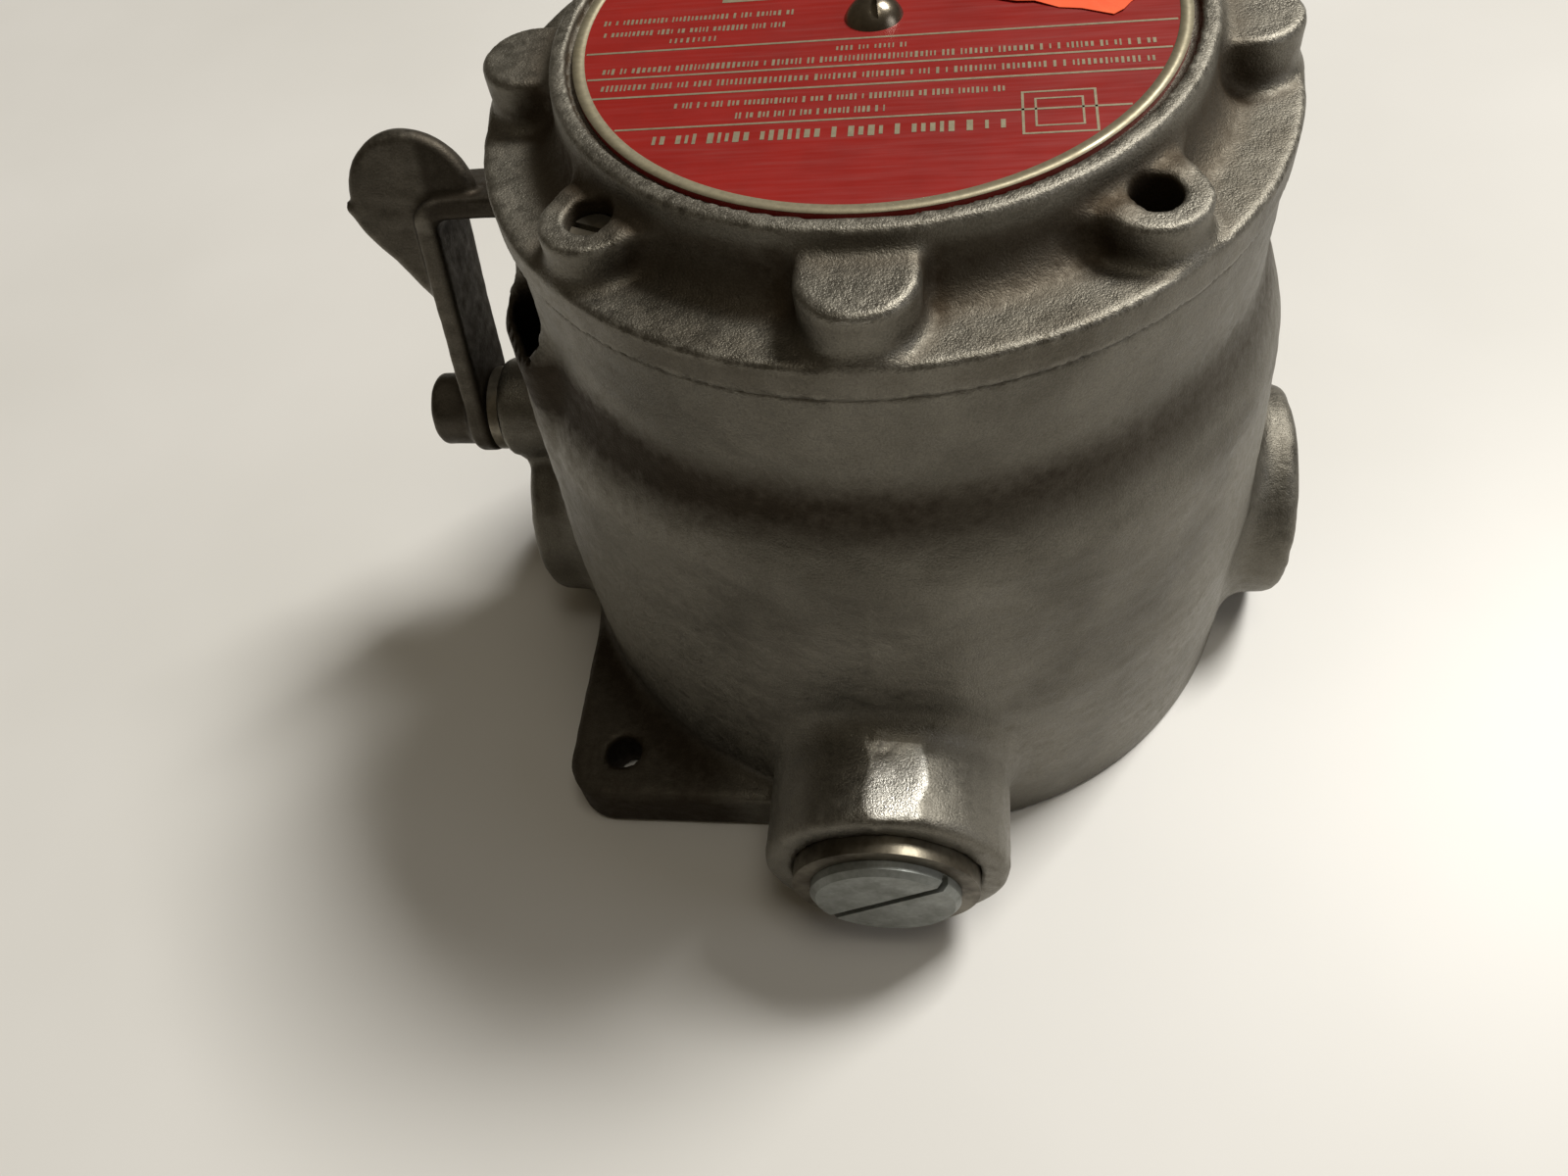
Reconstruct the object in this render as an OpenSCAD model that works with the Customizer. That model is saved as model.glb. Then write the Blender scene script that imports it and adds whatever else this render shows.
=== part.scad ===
// Lever-operated receptacle box for hazardous locations, lying on its mounting back.
// Origin: centre of the mounting back, +Z out through the cover, -Y through the front hub.

/* [Body casting] */
// Radius of the drum
drum_r = 69.5; // [64:0.5:76]
// Radius of the drum where its shoulder begins
shoulder_r = 66.9; // [65:0.1:74]
// Radius of the collar that carries the cover
collar_r = 61.2; // [59:0.2:64]
// Height of the ground joint face above the mounting back
joint_z = 115; // [105:1:140]
// Thickness of the cast drum wall
wall = 6.4; // [5:0.2:8]
// Thickness of the cast floor
floor_t = 7; // [5:0.5:8]
// Radius of the mouth inside the joint face
mouth_r = 46.5; // [42:0.5:47]

/* [Conduit hubs] */
// Outer radius of each hub
hub_r = 21.8; // [20.5:0.1:24]
// Height of the hub axes above the back
hub_z = 22.3; // [22:0.1:30]
// Distance from the drum's axis to the front hub's face
hub_front = 88; // [84:1:96]
// Distance from the drum's axis to each side hub's face
hub_side = 77.5; // [76:0.5:90]
// Radius of the hub's conduit bore
conduit_r = 16.6; // [15:0.1:17.2]
// Depth of the conduit bore to its stop
conduit_depth = 19; // [16:0.5:22]
// Radius of the wire throat behind the stop
throat_r = 13.4; // [11:0.1:14]

/* [Mounting ears] */
// Distance of the ear's outer side from the axis, along X
ear_reach_x = 66.3; // [66:0.1:76]
// Distance of the ear's outer side from the axis, along Y
ear_reach_y = 69.8; // [66:0.1:78]
// Thickness of an ear
ear_t = 11.5; // [8:0.5:14]
// Distance of the ear's hole from the axis, along X
ear_hole_x = 55.2; // [54:0.2:60]
// Distance of the ear's hole from the axis, along Y
ear_hole_y = 59.6; // [56:0.2:62]
// Radius of the ear's hole
ear_hole_r = 3.6; // [2.8:0.1:4.5]

/* [Cover] */
// Thickness of the cover's flange at its rim
flange_t = 5.6; // [4:0.2:8]
// Radius of the cover's flange
flange_r = 61.7; // [60:0.1:66]
// Height of the cover's top rim above the joint face
rim_h = 16.4; // [14:0.2:22]
// Outer radius of the rim round the rating plate
rim_r = 48.5; // [47.5:0.1:50]
// Radius of the circle of cover screws and lugs
bolt_circle_r = 52.8; // [52:0.1:54]
// Height of the solid wrench lugs above the joint face
lug_h = 13.3; // [11:0.1:15]
// Radius of the solid wrench lugs
lug_r = 8.1; // [7:0.1:8.6]
// Height of the screw bosses above the joint face
boss_h = 11.6; // [10:0.1:13]
// Radius of the screw bosses
boss_r = 7.4; // [6.5:0.1:8]

/* [Cover screws] */
// Radius of the screw shank
screw_r = 2.1; // [1.8:0.05:2.4]
// Radius of the cheese head
screw_head_r = 3.2; // [2.9:0.05:3.6]
// Height of the cheese head
screw_head_h = 5.2; // [3:0.1:6]
// Depth of the head's counterbore
counterbore_depth = 7.4; // [5:0.1:8]

/* [Rating plate] */
// Radius of the rating plate
plate_r = 44.8; // [40:0.1:45.2]
// Thickness of the rating plate
plate_t = 0.9; // [0.6:0.1:1.4]
// Radius of the plate screw's head
plate_screw_head_r = 4.3; // [3.5:0.1:5]

/* [Lever] */
// Height of the lever's pivot axis above the back
pivot_z = 50.5; // [48:0.5:56]
// Backward lean of the lever at rest, in degrees
lever_lean = 18; // [0:1:20]
// Throw of the lever, in degrees
lever_throw = 60; // [40:5:60]
// Distance from the drum's axis to the outer face of the strap
strap_x = 87.4; // [86:0.1:94]
// Thickness of the strap
strap_t = 4.5; // [3.5:0.1:5.5]
// Width of the strap
strap_w = 17.5; // [14:0.5:20]
// Height of the strap's bend above the pivot
strap_h = 47.5; // [42:0.5:50]
// Length of the strap's inward finger
finger_len = 19; // [12:1:20]
// Radius of the thumb pad
pad_r = 12.2; // [10:0.2:15]
// Height of the thumb pad's centre above the pivot
pad_h = 46.5; // [40:0.5:50]
// Radius of the lever's outer hub
lever_hub_r = 7.4; // [7:0.1:9]

/* [Shaft] */
// Radius of the lever shaft
shaft_r = 4.75; // [4:0.05:5.5]
// Outer radius of the shaft bushing
bushing_r = 6.6; // [6.2:0.1:7.5]
// Radius of the boss round the shaft bushing
shaft_boss_r = 10; // [9.5:0.5:13]

/* [Switch] */
// Distance between neighbouring poles
pole_pitch = 24; // [22:1:25]
// Half length of a moving contact blade
blade_reach = 24; // [21:0.5:25]
// Thickness of a moving contact blade
blade_t = 2; // [1.6:0.2:2.6]
// Width of a moving contact blade
blade_w = 8; // [6:0.5:9]
// Outer radius of the insulating spacers on the rotor
rotor_r = 13; // [12:0.5:14]
// Thickness of the moulded base
base_t = 6; // [5:0.5:8]

/* [Receptacle] */
// Height of the receptacle's axis above the back
outlet_z = 56; // [54:1:60]
// Inside radius of the receptacle sleeve
sleeve_r = 22.5; // [20:0.5:23]
// Wall thickness of the sleeve
sleeve_wall = 3.5; // [3:0.5:4]
// Distance from the drum's axis to the receptacle's seat on the body
outlet_seat = 74; // [72:1:78]
// Length of the sleeve beyond its flange
sleeve_len = 30; // [24:1:36]
// Thickness of the receptacle's flange
outlet_flange_t = 7; // [6:0.5:9]
// Radius of the circle of receptacle screws
outlet_bolt_r = 30.5; // [30:0.5:32]
// Opening angle of the spring flap, in degrees
flap_open = 110; // [90:5:120]

/* [Hidden] */

$fn = 96;
// Overshoot of every cut past the face that it opens
cut = 1;
// Gap between faces of a running or screwed fit
fit_gap = 0.06;
// Gap round a piece that is pinned or clamped to another
seat_gap = 0.05;
// Gap between pieces that move past one another
run_gap = 0.4;

// Heights and radii of the body
neck_z = joint_z - 17;
shoulder_z = joint_z - 39;
straight_z = joint_z - 73;
cavity_r = drum_r - wall;
cavity_top_r = shoulder_r - wall;

// Places round the cover: screws stand on the diagonals, lugs between them
screw_angles = [45, 135, 225, 315];
lug_angles = [0, 90, 180, 270];
// The near right screw is missing
fitted_angles = [45, 135, 225];
rim_z = joint_z + rim_h;
rim_in_r = plate_r + 1.1;
plate_top = rim_z - 0.4;
plate_seat = plate_top - plate_t;
cover_web_t = 7;
counterbore_r = screw_head_r + 0.3;
screw_seat = joint_z + boss_h - counterbore_depth;
screw_len = 18;

// Small pocket beside the lever: a hood with a slanting mouth, and a groove up the collar
pocket_angle = 205.5;
pocket_r = 4.6;
pocket_half = 4.8;
pocket_top = joint_z - 14;
pocket_slope = 52;
pocket_depth = 26;
pocket_bore = 3.4;
pocket_at = collar_r + 0.6;

// Front hub fittings
bushing_out = 3;
plug_out = 5.5;
plug_r = 13.3;

// Shaft stations along X, measured outward on the lever side
boss_x = 80;
washer_t = 1.2;
lever_hub_x = strap_x + 7.9;
lever_cap_t = 2;
pin_x = strap_x + 3.6;
pin_r = 1.2;
strap_in = strap_x - strap_t;
bushing_in = 60;
shaft_end = 45;
cheek_x = 39;
cheek_t = 6;

// Detent outside the base's cheek
detent_x = 48.6;
detent_t = 5;
detent_r = 12;
roller_r = 2.4;
roller_z = pivot_z - detent_r - roller_r - run_gap;

// Switch
base_z = floor_t + 7;
base_top = base_z + base_t;
base_half_x = 45;
base_half_y = 40;
base_post_x = 37;
base_post_y = 34;
pole_x = [for (i = [-1:1]) i * pole_pitch];
core_r = 8;
jaw_gap = 0.4;
jaw_leaf = 1.2;
jaw_top = pivot_z + 7;
jaw_near = rotor_r + 4;
jaw_web = blade_reach + 4;
foot_len = 11;
terminal_y = jaw_web + 7;
terminal_r = 1.6;
rotor_half = 34;
collar_t = 3.2;
ground_y = 52;
lead_r = 1.7;
lead_rings = 14;
lead_sides = 8;

// Receptacle stations along Y
flange_y = outlet_seat + 1.5;
sleeve_y = flange_y + outlet_flange_t;
mouth_y = sleeve_y + sleeve_len;
sleeve_out_r = sleeve_r + sleeve_wall;
outlet_r = outlet_bolt_r + 5;
insulator_y = outlet_seat - 14;
insulator_t = 24;
insulator_ring_t = 1.5;
insulator_bore_r = sleeve_r + 0.5;
socket_y = insulator_y + insulator_t + insulator_ring_t;
tube_circle_r = 11;
tube_angles = [90, 210, 330];
tube_r = 3.6;
tube_back = 9;
flap_t = 4.5;
flap_gasket_t = 1.5;
flap_y = mouth_y + flap_gasket_t;
hinge_ear_r = 4.2;
hinge_y = mouth_y + 2;
hinge_z = outlet_z + sleeve_out_r + hinge_ear_r + 1;
hinge_pin_r = 1.6;
hinge_half = 17;
hinge_ear = 7;
spring_half = 5;
spring_out = 3.6;

// Points of a smooth step from [r0, z0] to [r1, z1]
function step(r0, z0, r1, z1, n) =
    [for (i = [0:n]) [r0 + (r1 - r0) * (1 - cos(180 * i / n)) / 2, z0 + (z1 - z0) * i / n]];

// Points of an arc round [cx, cy]
function arc(cx, cy, r, a0, a1, n) =
    [for (i = [0:n]) let (a = a0 + (a1 - a0) * i / n) [cx + r * cos(a), cy + r * sin(a)]];

// A cylinder from the drum's axis side, pointing along -Y, +Y, -X or +X
module along(side) {
    turn = side == "front" ? [90, 0, 0] : side == "far" ? [-90, 0, 0] :
        side == "left" ? [0, -90, 0] : [0, 90, 0];
    rotate(turn) children();
}

// Children placed on the shaft's axis at distance x on the lever side, pointing outward
module on_shaft(x) {
    translate([-x, 0, pivot_z])
        along("left")
            children();
}

// Children in the lever's own leaning frame: X along the shaft, Y across the strap, Z up the strap
module leaning() {
    translate([0, 0, pivot_z])
        rotate([-lever_lean, 0, 0])
            children();
}

// Children on the receptacle's axis at distance y, pointing out of it
module on_outlet(y) {
    translate([0, y, outlet_z])
        along("far")
            children();
}

module ring(outer, inner, h) {
    difference() {
        cylinder(r = outer, h = h);
        translate([0, 0, -cut])
            cylinder(r = inner, h = h + 2 * cut);
    }
}

// A hub with a rounded end, from inside the drum wall to its face
module hub(reach) {
    round_r = 2.5;
    start = drum_r - wall - 4;
    translate([0, 0, start])
        rotate_extrude()
            polygon(concat([[0, 0], [hub_r, 0]],
                arc(hub_r - round_r, reach - start - round_r, round_r, 0, 90, 5),
                [[0, reach - start]]));
}

module hub_bore(reach) {
    translate([0, 0, reach - conduit_depth])
        cylinder(r = conduit_r, h = conduit_depth + cut);
    translate([0, 0, reach - 1.2])
        cylinder(r1 = conduit_r, r2 = conduit_r + 1.4, h = 1.4);
    translate([0, 0, drum_r - wall - 6])
        cylinder(r = throat_r, h = reach - drum_r);
    translate([0, 0, cavity_r / 2])
        cylinder(r = throat_r, h = reach - cavity_r / 2 - conduit_depth + cut);
}

// One square ear with a rounded corner, at the -X -Y corner
module ear() {
    corner_r = 9;
    linear_extrude(height = ear_t)
        polygon(concat([[0, -ear_reach_y], [0, 0], [-ear_reach_x, 0]],
            arc(corner_r - ear_reach_x, corner_r - ear_reach_y, corner_r, 180, 270, 8)));
}

// Upright slab with round ends, on the collar beside the lever
module pocket_form(r, from, to) {
    rotate([0, 0, pocket_angle])
        hull()
            for (y = [-pocket_half, pocket_half])
                translate([pocket_at, y, from])
                    cylinder(r = r, h = to - from);
}

module pocket_hood() {
    reach = 5 * pocket_r;
    difference() {
        pocket_form(pocket_r, shoulder_z - 24, pocket_top + reach / 2);
        rotate([0, 0, pocket_angle])
            translate([pocket_at, 0, pocket_top])
                rotate([0, pocket_slope, 0])
                    translate([-reach, -reach, 0])
                        cube([2 * reach, 2 * reach, reach]);
    }
}

module body_outer() {
    rotate_extrude($fn = 180)
        polygon(concat([[0, 0], [drum_r - 1.5, 0], [drum_r, 1.5], [drum_r, straight_z]],
            step(shoulder_r, shoulder_z, collar_r, neck_z, 10),
            [[collar_r, joint_z], [0, joint_z]]));
    for (a = [0, 180])
        rotate([0, 0, a])
            ear();
    along("front")
        translate([0, hub_z, 0])
            hub(hub_front);
    for (side = ["left", "right"])
        translate([0, 0, hub_z])
            along(side)
                hub(hub_side);
    on_shaft(cavity_r - 4)
        cylinder(r = shaft_boss_r, h = boss_x - cavity_r + 4);
    on_outlet(cavity_r - 14)
        cylinder(r = outlet_r, h = outlet_seat - cavity_r + 14);
    pocket_hood();
}

module body_cavity() {
    difference() {
        rotate_extrude($fn = 180)
            polygon([[0, floor_t], [cavity_r - 4, floor_t], [cavity_r, floor_t + 4], [cavity_r, straight_z],
                [cavity_top_r, shoulder_z - 4], [mouth_r, neck_z - 4], [mouth_r, joint_z + cut],
                [0, joint_z + cut]]);
        for (x = [-base_post_x, base_post_x], y = [-base_post_y, base_post_y])
            translate([x, y, 0])
                cylinder(r = 5, h = base_z);
        // Thick pad behind the pocket and round the shaft bushing
        pocket_form(pocket_r + 1, pocket_top - pocket_depth - 5, joint_z + cut);
        on_shaft(bushing_in)
            cylinder(r = shaft_boss_r, h = boss_x - bushing_in);
    }
}

module body_casting() {
    color("#7d776c")
        difference() {
            body_outer();
            body_cavity();
            translate([0, 0, hub_z])
                along("front")
                    hub_bore(hub_front);
            for (side = ["left", "right"])
                translate([0, 0, hub_z])
                    along(side)
                        hub_bore(hub_side);
            for (a = [0, 180])
                rotate([0, 0, a])
                    translate([-ear_hole_x, -ear_hole_y, -cut])
                        cylinder(r = ear_hole_r, h = ear_t + 2 * cut);
            for (a = screw_angles)
                rotate([0, 0, a])
                    translate([bolt_circle_r, 0, joint_z - screw_len])
                        cylinder(r = screw_r + fit_gap, h = screw_len + cut);
            on_shaft(bushing_in - cut)
                cylinder(r = bushing_r + fit_gap, h = boss_x - bushing_in + 2 * cut);
            on_outlet(cavity_r / 2)
                cylinder(r = sleeve_r + 1, h = outlet_seat);
            for (a = screw_angles)
                on_outlet(outlet_seat - 11)
                    rotate([0, 0, a])
                        translate([outlet_bolt_r, 0, 0])
                            cylinder(r = screw_r + fit_gap, h = 11 + cut);
            for (x = [-base_post_x, base_post_x], y = [-base_post_y, base_post_y])
                translate([x, y, 3])
                    cylinder(r = screw_r + fit_gap, h = base_z);
            translate([0, -ground_y, 3])
                cylinder(r = screw_r + fit_gap, h = floor_t);
            pocket_form(pocket_bore, pocket_top - pocket_depth, joint_z + cut);
        }
}

module cover_casting() {
    web_z = plate_seat - cover_web_t;
    fillet_r = 5;
    wall_foot = rim_r + 1.8;
    ledge_z = joint_z + flange_t;
    color("#858073")
        difference() {
            union() {
                rotate_extrude($fn = 180)
                    polygon(concat([[0, web_z], [mouth_r - 3, web_z], [mouth_r, web_z - 3], [mouth_r, joint_z],
                        [flange_r, joint_z], [flange_r, ledge_z - 0.6], [flange_r - 0.6, ledge_z]],
                        arc(wall_foot + fillet_r, ledge_z + 1.4 + fillet_r, fillet_r, 270, 180, 6),
                        [[rim_r + 0.4, rim_z - 0.8], [rim_r - 0.4, rim_z], [rim_in_r, rim_z],
                        [rim_in_r, plate_seat], [0, plate_seat]]));
                for (a = lug_angles)
                    rotate([0, 0, a])
                        wrench_lug();
                for (a = screw_angles)
                    rotate([0, 0, a])
                        screw_boss();
            }
            for (a = screw_angles)
                rotate([0, 0, a])
                    translate([bolt_circle_r, 0, 0]) {
                        translate([0, 0, joint_z - cut])
                            cylinder(r = screw_r + 0.3, h = boss_h + 2 * cut);
                        translate([0, 0, screw_seat])
                            cylinder(r = counterbore_r, h = counterbore_depth + cut);
                    }
            translate([0, 0, plate_seat - 6])
                cylinder(r = screw_r + fit_gap, h = 7);
        }
}

// A solid D-shaped lug that a wrench bar turns the cover by
module wrench_lug() {
    translate([bolt_circle_r, 0, joint_z])
        cylinder(r = lug_r, h = lug_h);
    translate([rim_r - 1, -lug_r, joint_z])
        cube([bolt_circle_r - rim_r + 1, 2 * lug_r, lug_h]);
}

// A round screw boss whose top runs out along the rim in two wings
module screw_boss() {
    wing = 10.5;
    translate([bolt_circle_r, 0, joint_z])
        cylinder(r = boss_r, h = boss_h);
    translate([0, 0, joint_z])
        linear_extrude(height = boss_h)
            polygon([[rim_r - 2, -wing], [bolt_circle_r, -boss_r], [bolt_circle_r, boss_r], [rim_r - 2, wing]]);
}

// A slotted cheese-head screw pointing down from its seat at z = 0
module cheese_screw(length) {
    difference() {
        union() {
            cylinder(r = screw_head_r, h = screw_head_h);
            translate([0, 0, -length])
                cylinder(r = screw_r, h = length);
        }
        translate([-screw_head_r - cut, -0.5, screw_head_h - 1.3])
            cube([2 * (screw_head_r + cut), 1, 1.3 + cut]);
    }
}

module cover_screws() {
    color("#6f675c")
        for (a = fitted_angles)
            rotate([0, 0, a])
                translate([bolt_circle_r, 0, screw_seat])
                    rotate([0, 0, a * 1.3])
                        cheese_screw(screw_seat - joint_z + screw_len - 2);
}

module rating_plate() {
    color("#b2342c")
        translate([0, 0, plate_seat])
            ring(plate_r, screw_r + 0.3, plate_t);
}

// A slotted round-head screw
module plate_screw() {
    head_h = 2.8;
    ball = (plate_screw_head_r * plate_screw_head_r + head_h * head_h) / (2 * head_h);
    color("#8d8575")
        translate([0, 0, plate_top])
            difference() {
                union() {
                    intersection() {
                        translate([0, 0, head_h - ball])
                            sphere(r = ball);
                        cylinder(r = plate_screw_head_r, h = head_h + cut);
                    }
                    translate([0, 0, -6])
                        cylinder(r = screw_r, h = 6);
                }
                rotate([0, 0, 97])
                    translate([-plate_screw_head_r - cut, -0.5, head_h - 1.5])
                        cube([2 * (plate_screw_head_r + cut), 1, 1.5 + cut]);
            }
}

module reducing_bushing() {
    color("#8a857a")
        translate([0, 0, hub_z])
            along("front")
                translate([0, 0, hub_front + bushing_out - 18])
                    difference() {
                        cylinder(r = conduit_r - fit_gap, h = 18);
                        translate([0, 0, -cut])
                            cylinder(r = plug_r + fit_gap, h = 18 + 2 * cut);
                    }
}

module hub_plug() {
    plug_len = 16;
    edge = 1;
    color("#9aa09d")
        translate([0, 0, hub_z])
            along("front")
                translate([0, 0, hub_front + plug_out - plug_len])
                    difference() {
                        union() {
                            cylinder(r = plug_r, h = plug_len - edge);
                            translate([0, 0, plug_len - edge])
                                cylinder(r1 = plug_r, r2 = plug_r - edge, h = edge);
                        }
                        rotate([0, 0, 38])
                            translate([-plug_r - cut, -0.8, plug_len - 2.4])
                                cube([2 * (plug_r + cut), 1.6, 2.4 + cut]);
                        translate([0, 0, -cut])
                            cylinder(r = plug_r - 3, h = plug_len - 5);
                    }
}

// Side outline of the strap: up from the pivot, round the bend and in along the finger
module strap_outline() {
    bend_out = 7;
    bend_in = bend_out - strap_t;
    x_tip = -strap_x + finger_len;
    polygon(concat([[-strap_x, 0]],
        arc(-strap_x + bend_out, strap_h - bend_out, bend_out, 180, 90, 6),
        [[x_tip, strap_h], [x_tip, strap_h - strap_t]],
        arc(-strap_x + bend_out, strap_h - bend_out, bend_in, 90, 180, 6),
        [[-strap_in, 0]]));
}

module thumb_pad() {
    pad_t = 4;
    pad_x = -strap_x + 0.6;
    root = strap_h - 21;
    lean = 24;
    translate([0, -strap_w / 2 + 1.6, 0])
        rotate([90, 0, 0])
            translate([0, 0, -pad_t])
                linear_extrude(height = pad_t)
                    difference() {
                        union() {
                            translate([pad_x, pad_h])
                                circle(r = pad_r);
                            polygon([[pad_x - pad_r * cos(lean), pad_h - pad_r * sin(lean)], [-strap_x, root],
                                [-strap_in - 1, root], [-strap_in - 1, pad_h]]);
                        }
                        // Nothing fills the inside of the bend
                        translate([-strap_in - 1, root - cut])
                            square([30, strap_h - strap_t + 1 - root + cut]);
                    }
}

module operating_lever() {
    end_r = strap_w / 2;
    color("#5c574c")
        difference() {
            leaning() {
                translate([0, strap_w / 2, 0])
                    rotate([90, 0, 0])
                        linear_extrude(height = strap_w)
                            strap_outline();
                translate([-strap_in, 0, 0])
                    along("left")
                        cylinder(r = end_r, h = strap_t);
                translate([-strap_in, 0, 0])
                    along("left")
                        cylinder(r = lever_hub_r, h = lever_hub_x - strap_in);
                thumb_pad();
            }
            on_shaft(boss_x)
                cylinder(r = shaft_r + seat_gap, h = lever_hub_x - boss_x - lever_cap_t);
            on_shaft(pin_x)
                rotate([0, 90, 0])
                    translate([0, 0, -lever_hub_r - cut])
                        cylinder(r = pin_r + seat_gap, h = 2 * lever_hub_r - 1 + cut);
        }
}

module lever_pin() {
    color("#4a463f")
        on_shaft(pin_x)
            rotate([0, 90, 0])
                translate([0, 0, -lever_hub_r + 0.5])
                    cylinder(r = pin_r, h = 2 * lever_hub_r - 1.5 - seat_gap);
}

module lever_shaft() {
    color("#8f8a80")
        difference() {
            on_shaft(-shaft_end)
                cylinder(r = shaft_r, h = shaft_end + lever_hub_x - lever_cap_t - 0.2);
            on_shaft(pin_x)
                rotate([0, 90, 0])
                    cylinder(r = pin_r + seat_gap, h = 30, center = true);
        }
}

module shaft_bushing() {
    color("#a9854a")
        on_shaft(bushing_in)
            ring(bushing_r, shaft_r + fit_gap, boss_x - bushing_in - 3);
}

module shaft_seal() {
    color("#26241f")
        on_shaft(boss_x - 2.6)
            ring(bushing_r - 0.1, shaft_r + fit_gap, 2.4);
}

module thrust_washer() {
    color("#8f8a80")
        on_shaft(boss_x + 0.4)
            ring(bushing_r + 2, shaft_r + fit_gap, strap_in - boss_x - 0.8);
}

module retaining_ring() {
    color("#55524c")
        on_shaft(bushing_in - 1.6)
            ring(shaft_r + 3.2, shaft_r + seat_gap, 1.2);
}

// Disc with two shallow seats, one for each end of the throw
module detent_disc() {
    color("#8f8a80")
        on_shaft(detent_x)
            difference() {
                ring(detent_r, shaft_r + seat_gap, detent_t);
                for (a = [0, lever_throw])
                    rotate([0, 0, 180 + a])
                        translate([detent_r + roller_r - 0.6, 0, -cut])
                            cylinder(r = roller_r + 0.3, h = detent_t + 2 * cut);
            }
}

module detent_roller() {
    color("#b8b2a4")
        translate([-detent_x - detent_t, 0, roller_z])
            along("right")
                cylinder(r = roller_r, h = detent_t);
}

// Flat spring on the end of the base that presses the roller up
module detent_leaf() {
    leaf_t = 0.8;
    color("#777468")
        translate([-detent_x - detent_t, 0, 0]) {
            translate([0, -14, roller_z - roller_r - leaf_t - 0.05])
                cube([detent_t, 28, leaf_t]);
            translate([0, -14, base_top])
                cube([detent_t, leaf_t, roller_z - roller_r - base_top - 0.05]);
            translate([0, -14, base_top])
                cube([11, 10, leaf_t]);
        }
}

module rotor_core() {
    color("#3a2c22")
        on_shaft(-rotor_half)
            ring(core_r, shaft_r + seat_gap, 2 * rotor_half);
}

module rotor_spacers() {
    gap = 0.02;
    starts = [for (x = concat([-rotor_half + collar_t - blade_t / 2], pole_x)) x + blade_t / 2 + gap];
    ends = [for (x = concat(pole_x, [rotor_half - collar_t + blade_t / 2])) x - blade_t / 2 - gap];
    color("#4a3426")
        for (i = [0:len(starts) - 1])
            translate([starts[i], 0, pivot_z])
                along("right")
                    ring(rotor_r, core_r + seat_gap, ends[i] - starts[i]);
}

module moving_contacts() {
    color("#b9853f")
        for (x = pole_x)
            translate([x - blade_t / 2, 0, pivot_z])
                rotate([-lever_throw, 0, 0])
                    difference() {
                        union() {
                            along("right")
                                cylinder(r = rotor_r - 0.4, h = blade_t);
                            translate([0, -blade_reach, -blade_w / 2])
                                cube([blade_t, 2 * blade_reach, blade_w]);
                        }
                        translate([-cut, 0, 0])
                            along("right")
                                cylinder(r = core_r + seat_gap, h = blade_t + 2 * cut);
                    }
}

module rotor_collars() {
    color("#8f8a80")
        for (x = [-rotor_half, rotor_half - collar_t])
            translate([x, 0, pivot_z])
                along("right")
                    ring(rotor_r - 1.5, core_r + seat_gap, collar_t - 0.02);
}

module switch_base() {
    color("#2e211a")
        difference() {
            union() {
                translate([-base_half_x, -base_half_y, base_z])
                    cube([2 * base_half_x, 2 * base_half_y, base_t]);
                for (x = [-cheek_x - cheek_t / 2, cheek_x - cheek_t / 2])
                    translate([x, -13, base_z])
                        cube([cheek_t, 26, pivot_z + 12 - base_z]);
                for (x = [-pole_pitch / 2, pole_pitch / 2])
                    translate([x - 1.3, -base_half_y, base_z])
                        cube([2.6, 2 * base_half_y, pivot_z - 2 - base_z]);
            }
            on_shaft(-base_half_x - cut)
                cylinder(r = shaft_r + fit_gap, h = 2 * (base_half_x + cut));
            on_shaft(-cheek_x + cheek_t / 2 + run_gap)
                cylinder(r = rotor_r + 1.4, h = 2 * cheek_x - cheek_t - 2 * run_gap);
            for (x = [-base_post_x, base_post_x], y = [-base_post_y, base_post_y])
                translate([x, y, base_z - cut])
                    cylinder(r = screw_r + 0.3, h = base_t + 2 * cut);
            for (x = pole_x, y = [-terminal_y, terminal_y])
                translate([x, y, base_top - 5])
                    cylinder(r = terminal_r + fit_gap, h = 5 + cut);
        }
}

module base_screws() {
    color("#8f8a80")
        for (x = [-base_post_x, base_post_x], y = [-base_post_y, base_post_y])
            translate([x, y, base_top])
                cheese_screw(base_t + 8);
}

// One jaw: two leaves that straddle the blade, a web behind them and a foot with its screw hole
module jaw() {
    half = blade_t / 2 + jaw_gap;
    leaf_h = 13;
    difference() {
        union() {
            for (x = [-half - jaw_leaf, half])
                translate([x, jaw_near, jaw_top - leaf_h])
                    cube([jaw_leaf, jaw_web - jaw_near + jaw_leaf, leaf_h]);
            translate([-half - jaw_leaf, jaw_web, base_top])
                cube([2 * (half + jaw_leaf), jaw_leaf, jaw_top - base_top]);
            translate([-5, jaw_web, base_top])
                cube([10, foot_len, 1.4]);
        }
        translate([0, terminal_y, base_top - cut])
            cylinder(r = terminal_r + fit_gap, h = 4);
    }
}

module fixed_contacts() {
    color("#c0904a")
        for (x = pole_x, a = [0, 180])
            translate([x, 0, 0])
                rotate([0, 0, a])
                    jaw();
}

module terminal_screws() {
    color("#b9a56a")
        for (x = pole_x, y = [-terminal_y, terminal_y])
            translate([x, y, base_top + 1.4])
                difference() {
                    union() {
                        cylinder(r = 3, h = 2.2);
                        translate([0, 0, -5])
                            cylinder(r = terminal_r, h = 5);
                    }
                    translate([-4, -0.4, 1.2])
                        cube([8, 0.8, 2]);
                }
}

module ground_screw() {
    color("#5f8a4a")
        translate([0, -ground_y, floor_t])
            cheese_screw(3.6);
}

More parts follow.
